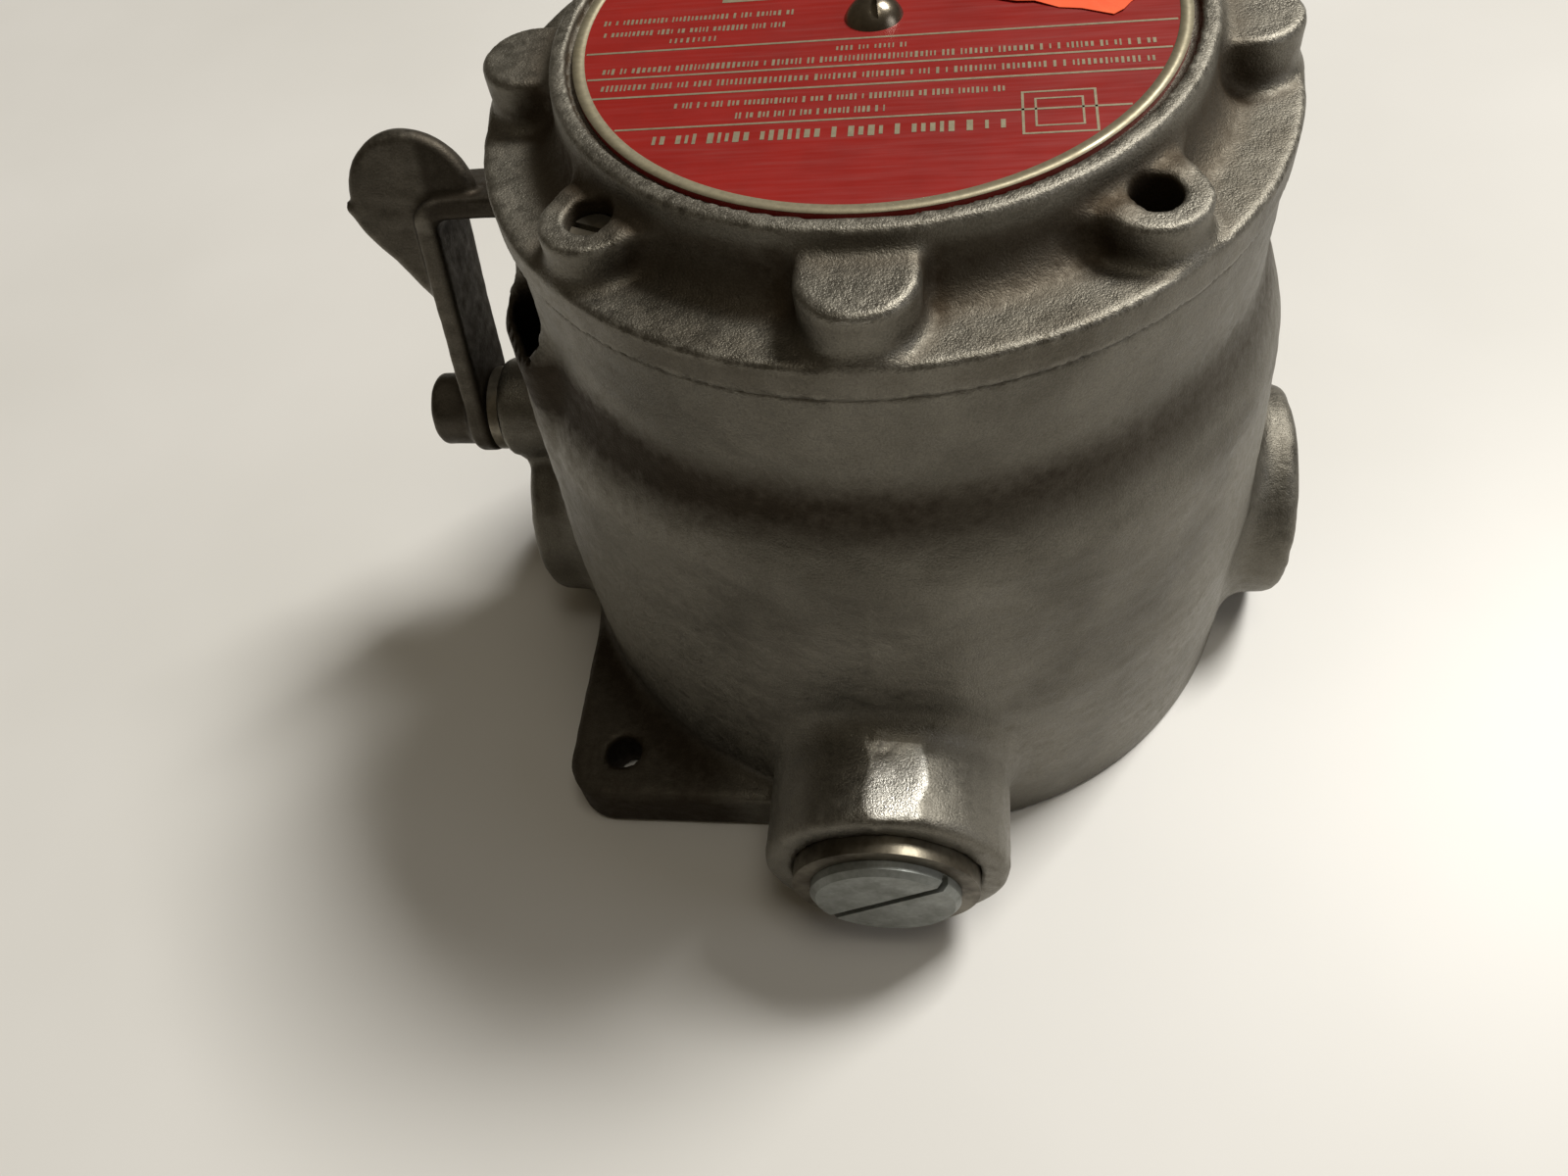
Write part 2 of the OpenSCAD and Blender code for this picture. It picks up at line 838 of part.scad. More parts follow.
// Points of a lead from its terminal to its contact tube, as a smooth curve with two pull points
function lead_point(a, b, t) =
    let (c1 = a + [0, 0, 9], c2 = b + [0, -8, 0], u = 1 - t)
    u * u * u * a + 3 * u * u * t * c1 + 3 * u * t * t * c2 + t * t * t * b;

function unit(v) = v / norm(v);

// Ring of points round a curve's point, square to the direction d
function lead_ring(p, d) =
    let (s = unit(cross(d, [0.2, 0.1, 1])), q = cross(s, d))
    [for (k = [0:lead_sides - 1]) let (w = 360 * k / lead_sides) p + lead_r * (cos(w) * s + sin(w) * q)];

module lead(a, b) {
    path = [for (i = [0:lead_rings]) lead_point(a, b, i / lead_rings)];
    last = len(path) - 1;
    rings = [for (i = [0:last]) lead_ring(path[i], unit(path[min(i + 1, last)] - path[max(i - 1, 0)]))];
    points = [for (r = rings) each r];
    sides = [for (i = [0:last - 1], k = [0:lead_sides - 1])
        let (n = (k + 1) % lead_sides, o = i * lead_sides)
        [o + k, o + n, o + lead_sides + n, o + lead_sides + k]];
    caps = [[for (k = [lead_sides - 1:-1:0]) k], [for (k = [0:lead_sides - 1]) last * lead_sides + k]];
    polyhedron(points = points, faces = concat(sides, caps));
}

module load_leads() {
    // Each pole feeds the contact tube nearest to it
    targets = [tube_angles[1], tube_angles[0], tube_angles[2]];
    color("#2b2926")
        for (i = [0:2])
            lead([pole_x[i], terminal_y, base_top + 1.4 + 2.2 + 0.3],
                [tube_circle_r * cos(targets[i]), insulator_y - 4, outlet_z - tube_circle_r * sin(targets[i])]);
}

module receptacle_housing() {
    color("#7f796e")
        difference() {
            union() {
                on_outlet(flange_y)
                    cylinder(r = outlet_r, h = outlet_flange_t);
                on_outlet(sleeve_y - cut)
                    cylinder(r = sleeve_out_r, h = sleeve_len + cut);
                for (x = [-hinge_half, hinge_half - hinge_ear]) {
                    translate([x, hinge_y, hinge_z])
                        along("right")
                            cylinder(r = hinge_ear_r, h = hinge_ear);
                    difference() {
                        translate([x, mouth_y - 12, outlet_z])
                            cube([hinge_ear, hinge_y - mouth_y + 12, hinge_z - outlet_z + hinge_ear_r]);
                        translate([x - cut, mouth_y, outlet_z - cut])
                            cube([hinge_ear + 2 * cut, 30, hinge_z - outlet_z - hinge_ear_r + cut]);
                    }
                }
            }
            on_outlet(socket_y - cut)
                cylinder(r = sleeve_r, h = mouth_y - socket_y + 2 * cut);
            on_outlet(flange_y - cut)
                cylinder(r = insulator_bore_r, h = socket_y - flange_y + cut);
            for (a = screw_angles)
                on_outlet(flange_y - cut)
                    rotate([0, 0, a])
                        translate([outlet_bolt_r, 0, 0])
                            cylinder(r = screw_r + 0.3, h = outlet_flange_t + 2 * cut);
            translate([-hinge_half - cut, hinge_y, hinge_z])
                along("right")
                    cylinder(r = hinge_pin_r + seat_gap, h = 2 * (hinge_half + cut));
        }
}

module receptacle_gasket() {
    color("#1f1d1b")
        on_outlet(outlet_seat)
            difference() {
                ring(outlet_r - 0.5, sleeve_r + 1, flange_y - outlet_seat);
                for (a = screw_angles)
                    rotate([0, 0, a])
                        translate([outlet_bolt_r, 0, -cut])
                            cylinder(r = screw_r + 0.3, h = 4);
            }
}

module receptacle_screws() {
    color("#8f8a80")
        for (a = screw_angles)
            on_outlet(sleeve_y)
                rotate([0, 0, a])
                    translate([outlet_bolt_r, 0, 0])
                        cheese_screw(outlet_flange_t + 9);
}

module receptacle_insulator() {
    color("#33241c")
        on_outlet(insulator_y)
            difference() {
                cylinder(r = insulator_bore_r - 0.3, h = insulator_t);
                for (a = tube_angles)
                    rotate([0, 0, a])
                        translate([tube_circle_r, 0, -cut])
                            cylinder(r = tube_r + fit_gap, h = insulator_t + 2 * cut);
                translate([0, 0, -cut])
                    cylinder(r = tube_r + 0.6 + fit_gap, h = insulator_t + 2 * cut);
            }
}

// Three pole tubes and a wider ground tube in the middle, each closed at its back end
module contact_tubes() {
    color("#c29a52")
        on_outlet(insulator_y) {
            for (a = tube_angles)
                rotate([0, 0, a])
                    translate([tube_circle_r, 0, -3])
                        contact_tube(tube_r);
            translate([0, 0, -3])
                contact_tube(tube_r + 0.6);
        }
}

module contact_tube(r) {
    difference() {
        cylinder(r = r, h = insulator_t + 3);
        translate([0, 0, tube_back])
            cylinder(r = r - 1.1, h = insulator_t);
    }
}

module insulator_ring() {
    color("#55524c")
        on_outlet(insulator_y + insulator_t)
            ring(insulator_bore_r - 0.1, sleeve_r - 3, insulator_ring_t - seat_gap);
}

// Round lid with a hinge knuckle between the housing's two ears
module flap_cover() {
    knuckle = 2 * (hinge_half - hinge_ear) - 2 * run_gap;
    color("#77726a")
        difference() {
            union() {
                on_outlet(flap_y)
                    cylinder(r = sleeve_out_r + 1, h = flap_t);
                on_outlet(flap_y + flap_t)
                    cylinder(r1 = sleeve_out_r - 6, r2 = sleeve_out_r - 9, h = 2.5);
                translate([-knuckle / 2, flap_y, outlet_z + sleeve_out_r - 8])
                    cube([knuckle, flap_t, hinge_z - outlet_z - sleeve_out_r + 8]);
                translate([-knuckle / 2, hinge_y, hinge_z])
                    along("right")
                        cylinder(r = hinge_ear_r, h = knuckle);
            }
            translate([-knuckle / 2 - cut, hinge_y, hinge_z])
                along("right")
                    cylinder(r = hinge_pin_r + fit_gap, h = knuckle + 2 * cut);
            translate([-spring_half - run_gap, hinge_y - 8, hinge_z - spring_out - run_gap])
                cube([2 * (spring_half + run_gap), 20, 20]);
        }
}

module flap_gasket() {
    color("#1f1d1b")
        on_outlet(mouth_y)
            ring(sleeve_out_r, sleeve_r - 2, flap_gasket_t);
}

module flap_pin() {
    color("#8f8a80")
        translate([-hinge_half - 1.5, hinge_y, hinge_z])
            along("right")
                cylinder(r = hinge_pin_r, h = 2 * hinge_half + 3);
}

// Torsion spring round the pin: close turns drawn as a row of rings
module flap_spring() {
    wire = 1.2;
    color("#9a958a")
        for (i = [0:7])
            translate([-spring_half + wire / 2 + i * 1.25, hinge_y, hinge_z])
                along("right")
                    rotate_extrude()
                        translate([hinge_pin_r + 0.25 + wire / 2, 0])
                            circle(r = wire / 2, $fn = 24);
}

body_casting();
cover_casting();
cover_screws();
rating_plate();
plate_screw();
reducing_bushing();
hub_plug();
operating_lever();
lever_pin();
lever_shaft();
shaft_bushing();
shaft_seal();
thrust_washer();
retaining_ring();
detent_disc();
detent_roller();
detent_leaf();
rotor_core();
rotor_spacers();
moving_contacts();
rotor_collars();
switch_base();
base_screws();
fixed_contacts();
terminal_screws();
load_leads();
ground_screw();
receptacle_housing();
receptacle_gasket();
receptacle_screws();
receptacle_insulator();
contact_tubes();
insulator_ring();
flap_cover();
flap_gasket();
flap_pin();
flap_spring();
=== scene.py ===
# Lever-operated receptacle box: cast-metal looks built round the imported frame
import math

import bpy
import numpy as np
from mathutils import Matrix, Vector


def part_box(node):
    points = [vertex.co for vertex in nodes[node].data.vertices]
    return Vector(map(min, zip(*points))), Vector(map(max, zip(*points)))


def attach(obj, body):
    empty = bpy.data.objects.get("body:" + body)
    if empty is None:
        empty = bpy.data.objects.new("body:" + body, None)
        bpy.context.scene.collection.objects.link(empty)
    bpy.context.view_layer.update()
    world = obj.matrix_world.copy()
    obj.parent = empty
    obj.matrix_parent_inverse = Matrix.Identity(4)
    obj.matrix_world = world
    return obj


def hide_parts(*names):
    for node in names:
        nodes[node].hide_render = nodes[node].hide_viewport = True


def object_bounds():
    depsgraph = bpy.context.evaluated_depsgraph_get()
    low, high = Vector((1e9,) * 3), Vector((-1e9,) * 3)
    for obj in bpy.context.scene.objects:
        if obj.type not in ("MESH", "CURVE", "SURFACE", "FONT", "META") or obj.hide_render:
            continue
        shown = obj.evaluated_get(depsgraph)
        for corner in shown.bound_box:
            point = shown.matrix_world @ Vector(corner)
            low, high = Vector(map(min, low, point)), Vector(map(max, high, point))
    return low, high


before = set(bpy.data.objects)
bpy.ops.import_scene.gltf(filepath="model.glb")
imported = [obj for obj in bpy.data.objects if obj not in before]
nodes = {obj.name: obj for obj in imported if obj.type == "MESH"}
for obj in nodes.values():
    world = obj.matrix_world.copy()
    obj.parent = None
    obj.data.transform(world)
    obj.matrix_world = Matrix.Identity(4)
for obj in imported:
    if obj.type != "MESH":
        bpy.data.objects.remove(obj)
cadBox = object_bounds()
print("frame loaded:", len(nodes), "nodes")


def boxMm(node):
    low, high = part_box(node)
    return np.array(low) * 1000, np.array(high) * 1000


# ---- signed distances, in millimetres: negative inside the metal ----

def rod(axial, radial, r, start, end, soft=0.0):
    # capped cylinder: distance to the rectangle (radius, half length) in the radial-axial plane
    dr = radial - (r - soft)
    da = np.abs(axial - (start + end) / 2) - ((end - start) / 2 - soft)
    return np.hypot(np.maximum(dr, 0), np.maximum(da, 0)) + np.minimum(np.maximum(dr, da), 0) - soft


def block(x, y, z, low, high, soft=0.0):
    # box with rounded edges: distance to the box shrunk by soft, less soft
    gaps = [np.abs(c - (a + b) / 2) - ((b - a) / 2 - soft) for c, a, b in zip((x, y, z), low, high)]
    outside = np.sqrt(sum(np.maximum(g, 0) ** 2 for g in gaps))
    return outside + np.minimum(np.maximum(np.maximum(gaps[0], gaps[1]), gaps[2]), 0) - soft


def join(a, b, fillet):
    # union with a round fillet of that radius in the corner between a and b
    corner = np.hypot(np.maximum(fillet - a, 0), np.maximum(fillet - b, 0))
    return np.maximum(fillet, np.minimum(a, b)) - corner


def common(a, b, soft):
    # intersection with its outer edge rounded to that radius
    return np.minimum(-soft, np.maximum(a, b)) + np.hypot(np.maximum(soft + a, 0), np.maximum(soft + b, 0))


def drill(a, b, soft):
    # a with b taken out, and the edge of the hole rounded
    return common(a, -b, soft)


def folded(x, y, turns, offset):
    # the plane folded into one wedge of a circle: the same point in the frame of its nearest arm
    angle = np.arctan2(y, x) - math.radians(offset)
    step = 2 * math.pi / turns
    angle = angle - step * np.round(angle / step)
    radial = np.hypot(x, y)
    return radial * np.cos(angle), radial * np.sin(angle)


def skinOf(field, low, high, step):
    # zero level of a field as quads: each crossed grid cell gets one point, the mean of the crossings
    # on its edges, and each crossed grid edge joins the points of its four cells
    axes = [np.arange(a - 1.6 * step, b + 1.6 * step, step) for a, b in zip(low, high)]
    f = np.asarray(field(*np.meshgrid(*axes, indexing="ij", sparse=True)))
    inside = f < 0
    shape = np.array(f.shape) - 1
    corners = np.array([(i, j, k) for i in (0, 1) for j in (0, 1) for k in (0, 1)])
    count = sum(inside[i:i + shape[0], j:j + shape[1], k:k + shape[2]].astype(np.int8) for i, j, k in corners)
    cells = np.argwhere((count > 0) & (count < 8))
    number = np.full(shape, -1)
    number[tuple(cells.T)] = np.arange(len(cells))
    value = np.stack([f[tuple((cells + c).T)] for c in corners], axis=1)
    total, hits = np.zeros((len(cells), 3)), np.zeros(len(cells))
    for a in range(8):
        for b in range(a + 1, 8):
            if np.abs(corners[a] - corners[b]).sum() != 1:
                continue
            crossed = (value[:, a] < 0) != (value[:, b] < 0)
            t = np.where(crossed, value[:, a] / np.where(crossed, value[:, a] - value[:, b], 1), 0)
            total += crossed[:, None] * (corners[a] + t[:, None] * (corners[b] - corners[a]))
            hits += crossed
    points = np.array([axis[0] for axis in axes]) + step * (cells + total / hits[:, None])
    faces = []
    for d in range(3):
        u, v = (d + 1) % 3, (d + 2) % 3
        first = [slice(1, -1)] * 3
        first[d] = slice(0, -1)
        second = list(first)
        second[d] = slice(1, None)
        change = inside[tuple(first)] != inside[tuple(second)]
        edges = np.argwhere(change)
        edges[:, u] += 1
        edges[:, v] += 1
        around = []
        for du, dv in ((0, 0), (-1, 0), (-1, -1), (0, -1)):
            cell = edges.copy()
            cell[:, u] += du
            cell[:, v] += dv
            around.append(number[tuple(cell.T)])
        quad = np.stack(around, axis=1)
        leaving = inside[tuple(edges.T)]
        faces.append(np.where(leaving[:, None], quad, quad[:, ::-1]))
    return points, np.concatenate(faces)


def slope(field, p, h=0.05):
    # gradient of the field by central differences
    g = np.stack([field(*(p + h * e).T) - field(*(p - h * e).T) for e in np.eye(3)], axis=1) / (2 * h)
    return g / np.maximum(np.linalg.norm(g, axis=1, keepdims=True), 1e-6)


def waviness(p, size, seed):
    # cast unevenness: a sum of sines of random direction and phase, wavelength about size
    rng = np.random.default_rng(seed)
    way = rng.normal(size=(14, 3))
    way *= (2 * math.pi / size * rng.uniform(0.6, 1.5, 14) / np.linalg.norm(way, axis=1))[:, None]
    return np.sin(p @ way.T + rng.uniform(0, 6.3, 14)).sum(axis=1) / 14 ** 0.5


def meshObject(name, points, faces, body, marks=None, smooth=True):
    # points in millimetres and quads or triangles, as a piece that rides on a body
    mesh = bpy.data.meshes.new(name)
    mesh.from_pydata((np.asarray(points) / 1000).tolist(), [], np.asarray(faces).tolist())
    mesh.polygons.foreach_set("use_smooth", np.full(len(mesh.polygons), smooth))
    for key, values in (marks or {}).items():
        mesh.attributes.new(key, "FLOAT", "POINT").data.foreach_set("value", values.astype(np.float32))
    mesh.update()
    piece = bpy.data.objects.new(name, mesh)
    bpy.context.scene.collection.objects.link(piece)
    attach(piece, body)
    return piece


def casting(name, field, settings, low, high):
    # points are pulled onto the zero level by Newton steps, then moved along their normals by the sand
    # mould's unevenness; recess = how much nearer the metal is than on a flat face at 1.5, 4 and 9 mm
    # out, edge = the field's curvature 1.4 mm to each side
    step = settings["step"] * 1.0
    points, faces = skinOf(field, low, high, step)
    for _ in range(3):
        normal = slope(field, points)
        points = points - np.clip(field(*points.T), -0.5 * step, 0.5 * step)[:, None] * normal
    normal = slope(field, points, 0.3)
    open1, open4, open9 = [np.clip(field(*(points + d * normal).T) / d, 0, 1) for d in (1.5, 4, 9)]
    recess = 1 - (open1 + open4 + open9) / 3
    reach = 1.4
    bend = sum(field(*(points + reach * e).T) + field(*(points - reach * e).T) for e in np.eye(3)) / reach ** 2
    edge = np.clip(bend * 0.9, 0, 1)
    rough = settings["unevenness"] * (waviness(points, 16, 3) + 0.6 * waviness(points, 5, 4))
    points = points + (rough * settings["free"](points))[:, None] * normal
    marks = {"recess": recess, "edge": edge}
    marks.update({mark: settings[mark](points) for mark in ("grimeAndShade", "rubbedAndHighlight")})
    piece = meshObject(name, points, faces, settings["body"], marks)
    print("casting", name, len(points), "points")
    return piece


# ---- the body: drum, shoulder, collar, hubs, ears and the pocket hood ----

# screws: radius of a tapped hole, of a clearance hole and of the cover's counterbore, radius of the
# circle of cover screws and of the receptacle's, and the radius of the hole for a hinge pin
screws = {"tapR": 2.16, "clearR": 2.4, "headR": 3.5, "coverAt": 52.8, "outletAt": 30.5, "hingeR": 1.66}

bodyLow, bodyHigh = boxMm("body_casting")
coverLow, coverHigh = boxMm("cover_casting")
sleeveLow, sleeveHigh = boxMm("receptacle_housing")
drumR, shoulderR, collarR = 69.5, 66.9, 61.2
shoulderLow, shoulderTop = 76, 98
shoulderZ = np.linspace(shoulderLow, shoulderTop, 11)
# the shoulder falls in to the collar along half a cosine wave
fall = np.cos(math.pi * (shoulderZ - shoulderLow) / (shoulderTop - shoulderLow))
shoulderCurve = (shoulderR + collarR) / 2 + (shoulderR - collarR) / 2 * fall
boxBody = {
    "body": "box", "step": 1.15, "unevenness": 0.10,
    "heights": np.r_[0, 42, shoulderZ, 140],
    "radii": np.r_[drumR, drumR, shoulderCurve, collarR],
    "insideHeights": [0, 42, 72, 94, 140],
    "insideRadii": [63.1, 63.1, 60.5, 46.5, 46.5],
    "floor": 7.0, "joint": coverLow[2], "hubZ": 22.3, "hubR": 21.8, "hubFillet": 4.5,
    "front": -bodyLow[1], "side": 77.5, "boreR": 16.6, "boreDepth": 19.0, "throatR": 13.4,
    "earX": 66.3, "earY": 69.8, "earT": 11.5, "holeX": 55.2, "holeY": 59.6, "holeR": 3.6,
    "shaftZ": 50.5, "bossX": -bodyLow[0], "outletZ": 56.0, "outletR": 35.5, "seat": 74.0,
    "shaftBossR": 10, "shaftHoleR": 6.66, "outletHoleR": 23.5,
    "postX": 37, "postY": 34, "postR": 5, "groundY": -52,
    "pocketAngle": 205.5, "pocketAt": 61.8, "pocketHalf": 4.8, "pocketR": 4.8,
    "pocketTop": 101.0, "pocketSlope": 52, "pocketBore": 3.0,
    "flatTurn": 5.2, "flatAt": 21.38, "flatFrom": -74.0,
    "free": lambda p: np.clip((p[:, 2] - 0.8) / 3, 0, 1) * np.clip((114.2 - p[:, 2]) / 3, 0, 1)
    * np.clip((np.hypot(p[:, 0], p[:, 1]) - 30) / 5, 0, 1)
    * np.clip((73.4 - p[:, 1]) / 3, 0, 1),
    # dirt and painted shade in the hollow under the collar, thickest at the near left, away from the light
    "grimeAndShade": lambda p: np.exp(-((p[:, 2] - 92) / 6) ** 2) * (0.80 - 0.25 * np.clip(p[:, 0] / 60, -1, 1))
    # painted shadow of the drum, with oily dirt, on the near ear, and darker inside the pocket
    + 1.1 * np.clip((16 - p[:, 2]) / 8, 0, 1)
    * np.clip((-25 - p[:, 0]) / 12, 0, 1) * np.clip((-15 - p[:, 1]) / 12, 0, 1)
    + 0.7 * np.exp(-((p[:, 0] + 54.5) / 5) ** 2 - ((p[:, 1] + 26) / 7) ** 2) * (p[:, 2] > 76),
    # filed patch on top of the front hub
    "rubbedAndHighlight": lambda p: np.clip((hubFlat(p[:, 0], p[:, 2]) + 0.3) / 0.25, 0, 1)
    * np.clip((-72 - p[:, 1]) / 1.5, 0, 1) * (p[:, 2] < 44.6),
}


def hubFlat(x, z):
    # distance past the filed plane that cuts the top of the front hub
    turn = math.radians(boxBody["flatTurn"])
    return math.sin(turn) * x + math.cos(turn) * (z - boxBody["hubZ"]) - boxBody["flatAt"]


def bodyField(x, y, z):
    s = boxBody
    radial = np.hypot(x, y)
    f = radial - np.interp(z, s["heights"], s["radii"])
    turn = math.radians(s["pocketAngle"])
    outward, sideways = x * math.cos(turn) + y * math.sin(turn), y * math.cos(turn) - x * math.sin(turn)
    pocket = np.hypot(outward - s["pocketAt"], np.maximum(np.abs(sideways) - s["pocketHalf"], 0))
    tip = math.radians(s["pocketSlope"])
    mouth = (z - s["pocketTop"]) * math.cos(tip) + (outward - s["pocketAt"]) * math.sin(tip)
    f = join(f, common(rod(z, pocket, s["pocketR"], 52, 112.5, 0.7), mouth, 0.5), 2.5)
    # ears on the near left and far right corners
    for turn in (1, -1):
        plan = block(turn * x, turn * y, 0 * z, (-s["earX"], -s["earY"], -50), (0, 0, 50), 9)
        f = join(f, common(plan, z - s["earT"], 1.6), 3.2)
    overFront = np.hypot(x, z - s["hubZ"])
    f = join(f, rod(-y, overFront, s["hubR"], 50, s["front"], 1.9), s["hubFillet"])
    overSide = np.hypot(y, z - s["hubZ"])
    f = join(f, rod(np.abs(x), overSide, s["hubR"], 50, s["side"], 2.6), s["hubFillet"])
    overShaft = np.hypot(y, z - s["shaftZ"])
    f = join(f, rod(-x, overShaft, s["shaftBossR"], 50, s["bossX"], 1.0), 3.5)
    overOutlet = np.hypot(x, z - s["outletZ"])
    f = join(f, rod(y, overOutlet, s["outletR"], 40, s["seat"], 0.6), 5)
    # moulded parting rib up the front and along the top of the hub
    rib = 0.35 * np.exp(-((x + 1.0) / 0.7) ** 2)
    f = f - rib * (y < 0) * np.clip((78 - z) / 8, 0, 1)
    f = drill(f, np.maximum(-hubFlat(x, z), y - s["flatFrom"]), 0.15)
    f = common(f, -z, 0.9)
    f = common(f, z - s["joint"], 0.5)
    # the cavity and what stands in it
    hollow = common(radial - np.interp(z, s["insideHeights"], s["insideRadii"]), s["floor"] - z, 4)
    posts = np.hypot(np.abs(x) - s["postX"], np.abs(y) - s["postY"])
    hollow = drill(hollow, rod(z, posts, s["postR"], -5, 14, 0.3), 1.0)
    hollow = drill(hollow, rod(z, pocket, s["pocketR"] + 1, 70, 150, 0.5), 0.8)
    hollow = drill(hollow, rod(-x, overShaft, s["shaftBossR"], 60, 90, 0.4), 1.0)
    f = drill(f, hollow, 0.6)
    # bores, throats and holes
    f = drill(f, rod(-y, overFront, s["boreR"], s["front"] - s["boreDepth"], 120, 0.4), 0.5)
    f = drill(f, rod(np.abs(x), overSide, s["boreR"], s["side"] - s["boreDepth"], 120, 0.4), 1.1)
    f = drill(f, rod(-y, overFront, s["throatR"], 45, 80, 0), 0.8)
    f = drill(f, rod(np.abs(x), overSide, s["throatR"], 45, 70, 0), 0.8)
    hole = np.minimum(np.hypot(x + s["holeX"], y + s["holeY"]), np.hypot(x - s["holeX"], y - s["holeY"]))
    f = drill(f, hole - s["holeR"], 0.7)
    u, v = folded(x, y, 4, 45)
    f = drill(f, rod(z, np.hypot(u - screws["coverAt"], v), screws["tapR"], 97, 130), 0.3)
    f = drill(f, rod(-x, overShaft, s["shaftHoleR"], 55, 95), 0.4)
    f = drill(f, rod(y, overOutlet, s["outletHoleR"], 20, 90), 0.5)
    u, v = folded(x, z - s["outletZ"], 4, 45)
    f = drill(f, rod(y, np.hypot(u - screws["outletAt"], v), screws["tapR"], 63, 90), 0.3)
    f = drill(f, rod(z, posts, screws["tapR"], 3, 20), 0.3)
    f = drill(f, rod(z, np.hypot(x, y - s["groundY"]), screws["tapR"], 3, 20), 0.3)
    return drill(f, rod(z, pocket, s["pocketBore"], 75, 130, 1.5), 0.4)


# ---- the cover: flange, rim, four lugs and four screw bosses ----

coverCasting = {
    "body": "box", "step": 0.8, "unevenness": 0.05,
    "joint": coverLow[2], "rimZ": coverHigh[2], "flangeR": 61.7, "flangeT": 5.6,
    "rimR": 48.5, "footR": 50.3, "lugAt": 52.8, "lugR": 8.1, "lugH": 13.3,
    "bossR": 7.4, "bossH": 11.6, "screwSeat": 119.2,
    "mouthR": 46.5, "web": 123.1, "plateR": 45.9, "plateSeat": 130.1,
    "free": lambda p: np.clip((p[:, 2] - 115.5) / 2, 0, 1)
    * np.clip((np.hypot(p[:, 0], p[:, 1]) - 46.2) / 2, 0, 1),
    # brown film on the rim's outer wall, between the lugs
    "grimeAndShade": lambda p: 0.5 * np.clip((56.5 - np.hypot(p[:, 0], p[:, 1])) / 4, 0, 1)
    * np.clip((129.5 - p[:, 2]) / 2, 0, 1),
    # handled tops of the lugs and the flange's outer edge, worn pale, with a painted highlight on both
    "rubbedAndHighlight": lambda p: 0.45 * np.clip((p[:, 2] - 126.2) / 1.2, 0, 1)
    * np.clip((np.hypot(p[:, 0], p[:, 1]) - 50) / 2, 0, 1)
    + 0.25 * np.clip((np.hypot(p[:, 0], p[:, 1]) - 59.2) / 1.5, 0, 1) * np.clip((p[:, 2] - 119.2) / 1, 0, 1),
}


def coverField(x, y, z):
    s = coverCasting
    radial = np.hypot(x, y)
    low = s["joint"] - 8
    flange = rod(z, radial, s["flangeR"], low, s["joint"] + s["flangeT"], 0.9)
    taper = np.interp(z, [s["joint"], s["rimZ"]], [s["footR"], s["rimR"]])
    wall = common(radial - taper, z - s["rimZ"], 0.8)
    f = join(flange, wall, 5)
    u, v = folded(x, y, 4, 0)
    lug = rod(z, np.hypot(np.maximum(u - s["lugAt"], 0), v), s["lugR"], low, s["joint"] + s["lugH"], 1.2)
    f = join(f, np.maximum(lug, 40 - u), 2.2)
    u, v = folded(x, y, 4, 45)
    boss = rod(z, np.hypot(u - s["lugAt"], v), s["bossR"], low, s["joint"] + s["bossH"], 0.9)
    spread = np.interp(u, [s["mouthR"], s["lugAt"], 80], [11.0, s["bossR"] - 0.4, s["bossR"] - 0.4])
    wings = common(np.maximum(np.abs(v) - spread, u - s["lugAt"]) * 0.9, z - s["joint"] - s["bossH"], 0.9)
    f = join(f, join(boss, np.maximum(wings, 40 - u), 1.6), 2.0)
    f = common(f, s["joint"] - z, 0.35)
    f = drill(f, rod(z, radial, s["mouthR"], 90, s["web"], 2.5), 0.5)
    f = drill(f, rod(z, radial, s["plateR"], s["plateSeat"], 150), 0.35)
    f = drill(f, rod(z, np.hypot(u - s["lugAt"], v), screws["clearR"], 100, 140), 0.3)
    f = drill(f, rod(z, np.hypot(u - s["lugAt"], v), screws["headR"], s["screwSeat"], 140, 0.3), 0.5)
    return drill(f, rod(z, radial, screws["tapR"], 124, 140), 0.2)


# ---- the lever: outer hub, leaning strap, thumb pad and the finger bent in at its top ----

leverLow, leverHigh = boxMm("operating_lever")
leverCasting = {
    "body": "lever_and_rotor", "step": 0.6, "unevenness": 0.06, "lean": 18, "pivotZ": 50.5,
    "outer": 87.4, "inner": 82.9, "width": 17.5, "bend": 47.5, "bendR": 7.0, "finger": 68.4,
    "padX": -86.8, "padZ": 46.5, "padR": 12.2, "padY": -5.15, "padT": 4.0, "neckRoot": 26.5, "neckTurn": 24,
    "hubR": 7.4, "hubEnd": 95.3, "shaftR": 4.8, "boreEnd": 93.3, "pinX": 91.0, "pinR": 1.25,
    "free": lambda p: np.ones(len(p)),
    # darker low down, and painted shadow on the side that faces the drum
    "grimeAndShade": lambda p: 0.35 * np.clip((74 - p[:, 2]) / 20, 0, 1)
    + 0.6 * np.clip((p[:, 0] + 84.5) / 1.5, 0, 1),
    "rubbedAndHighlight": lambda p: 0.0 * p[:, 2],
}


def padPlan(x, along):
    # outline of the thumb pad seen along the strap's width: a disc and its straight neck, with the
    # inside of the bend left open
    s = leverCasting
    turn = math.radians(s["neckTurn"])
    touch = (s["padX"] - s["padR"] * math.cos(turn), s["padZ"] - s["padR"] * math.sin(turn))
    down = np.array((-s["outer"] - touch[0], s["neckRoot"] - touch[1]))
    down = down / np.linalg.norm(down)
    neck = down[1] * (x - touch[0]) - down[0] * (along - touch[1])
    neck = np.maximum(np.maximum(neck, along - s["padZ"]), s["neckRoot"] - along)
    plan = join(np.hypot(x - s["padX"], along - s["padZ"]) - s["padR"], neck, 1.0)
    return drill(plan, np.maximum(-s["inner"] - 1 - x, along - s["bend"] + 3.5), 0.3)


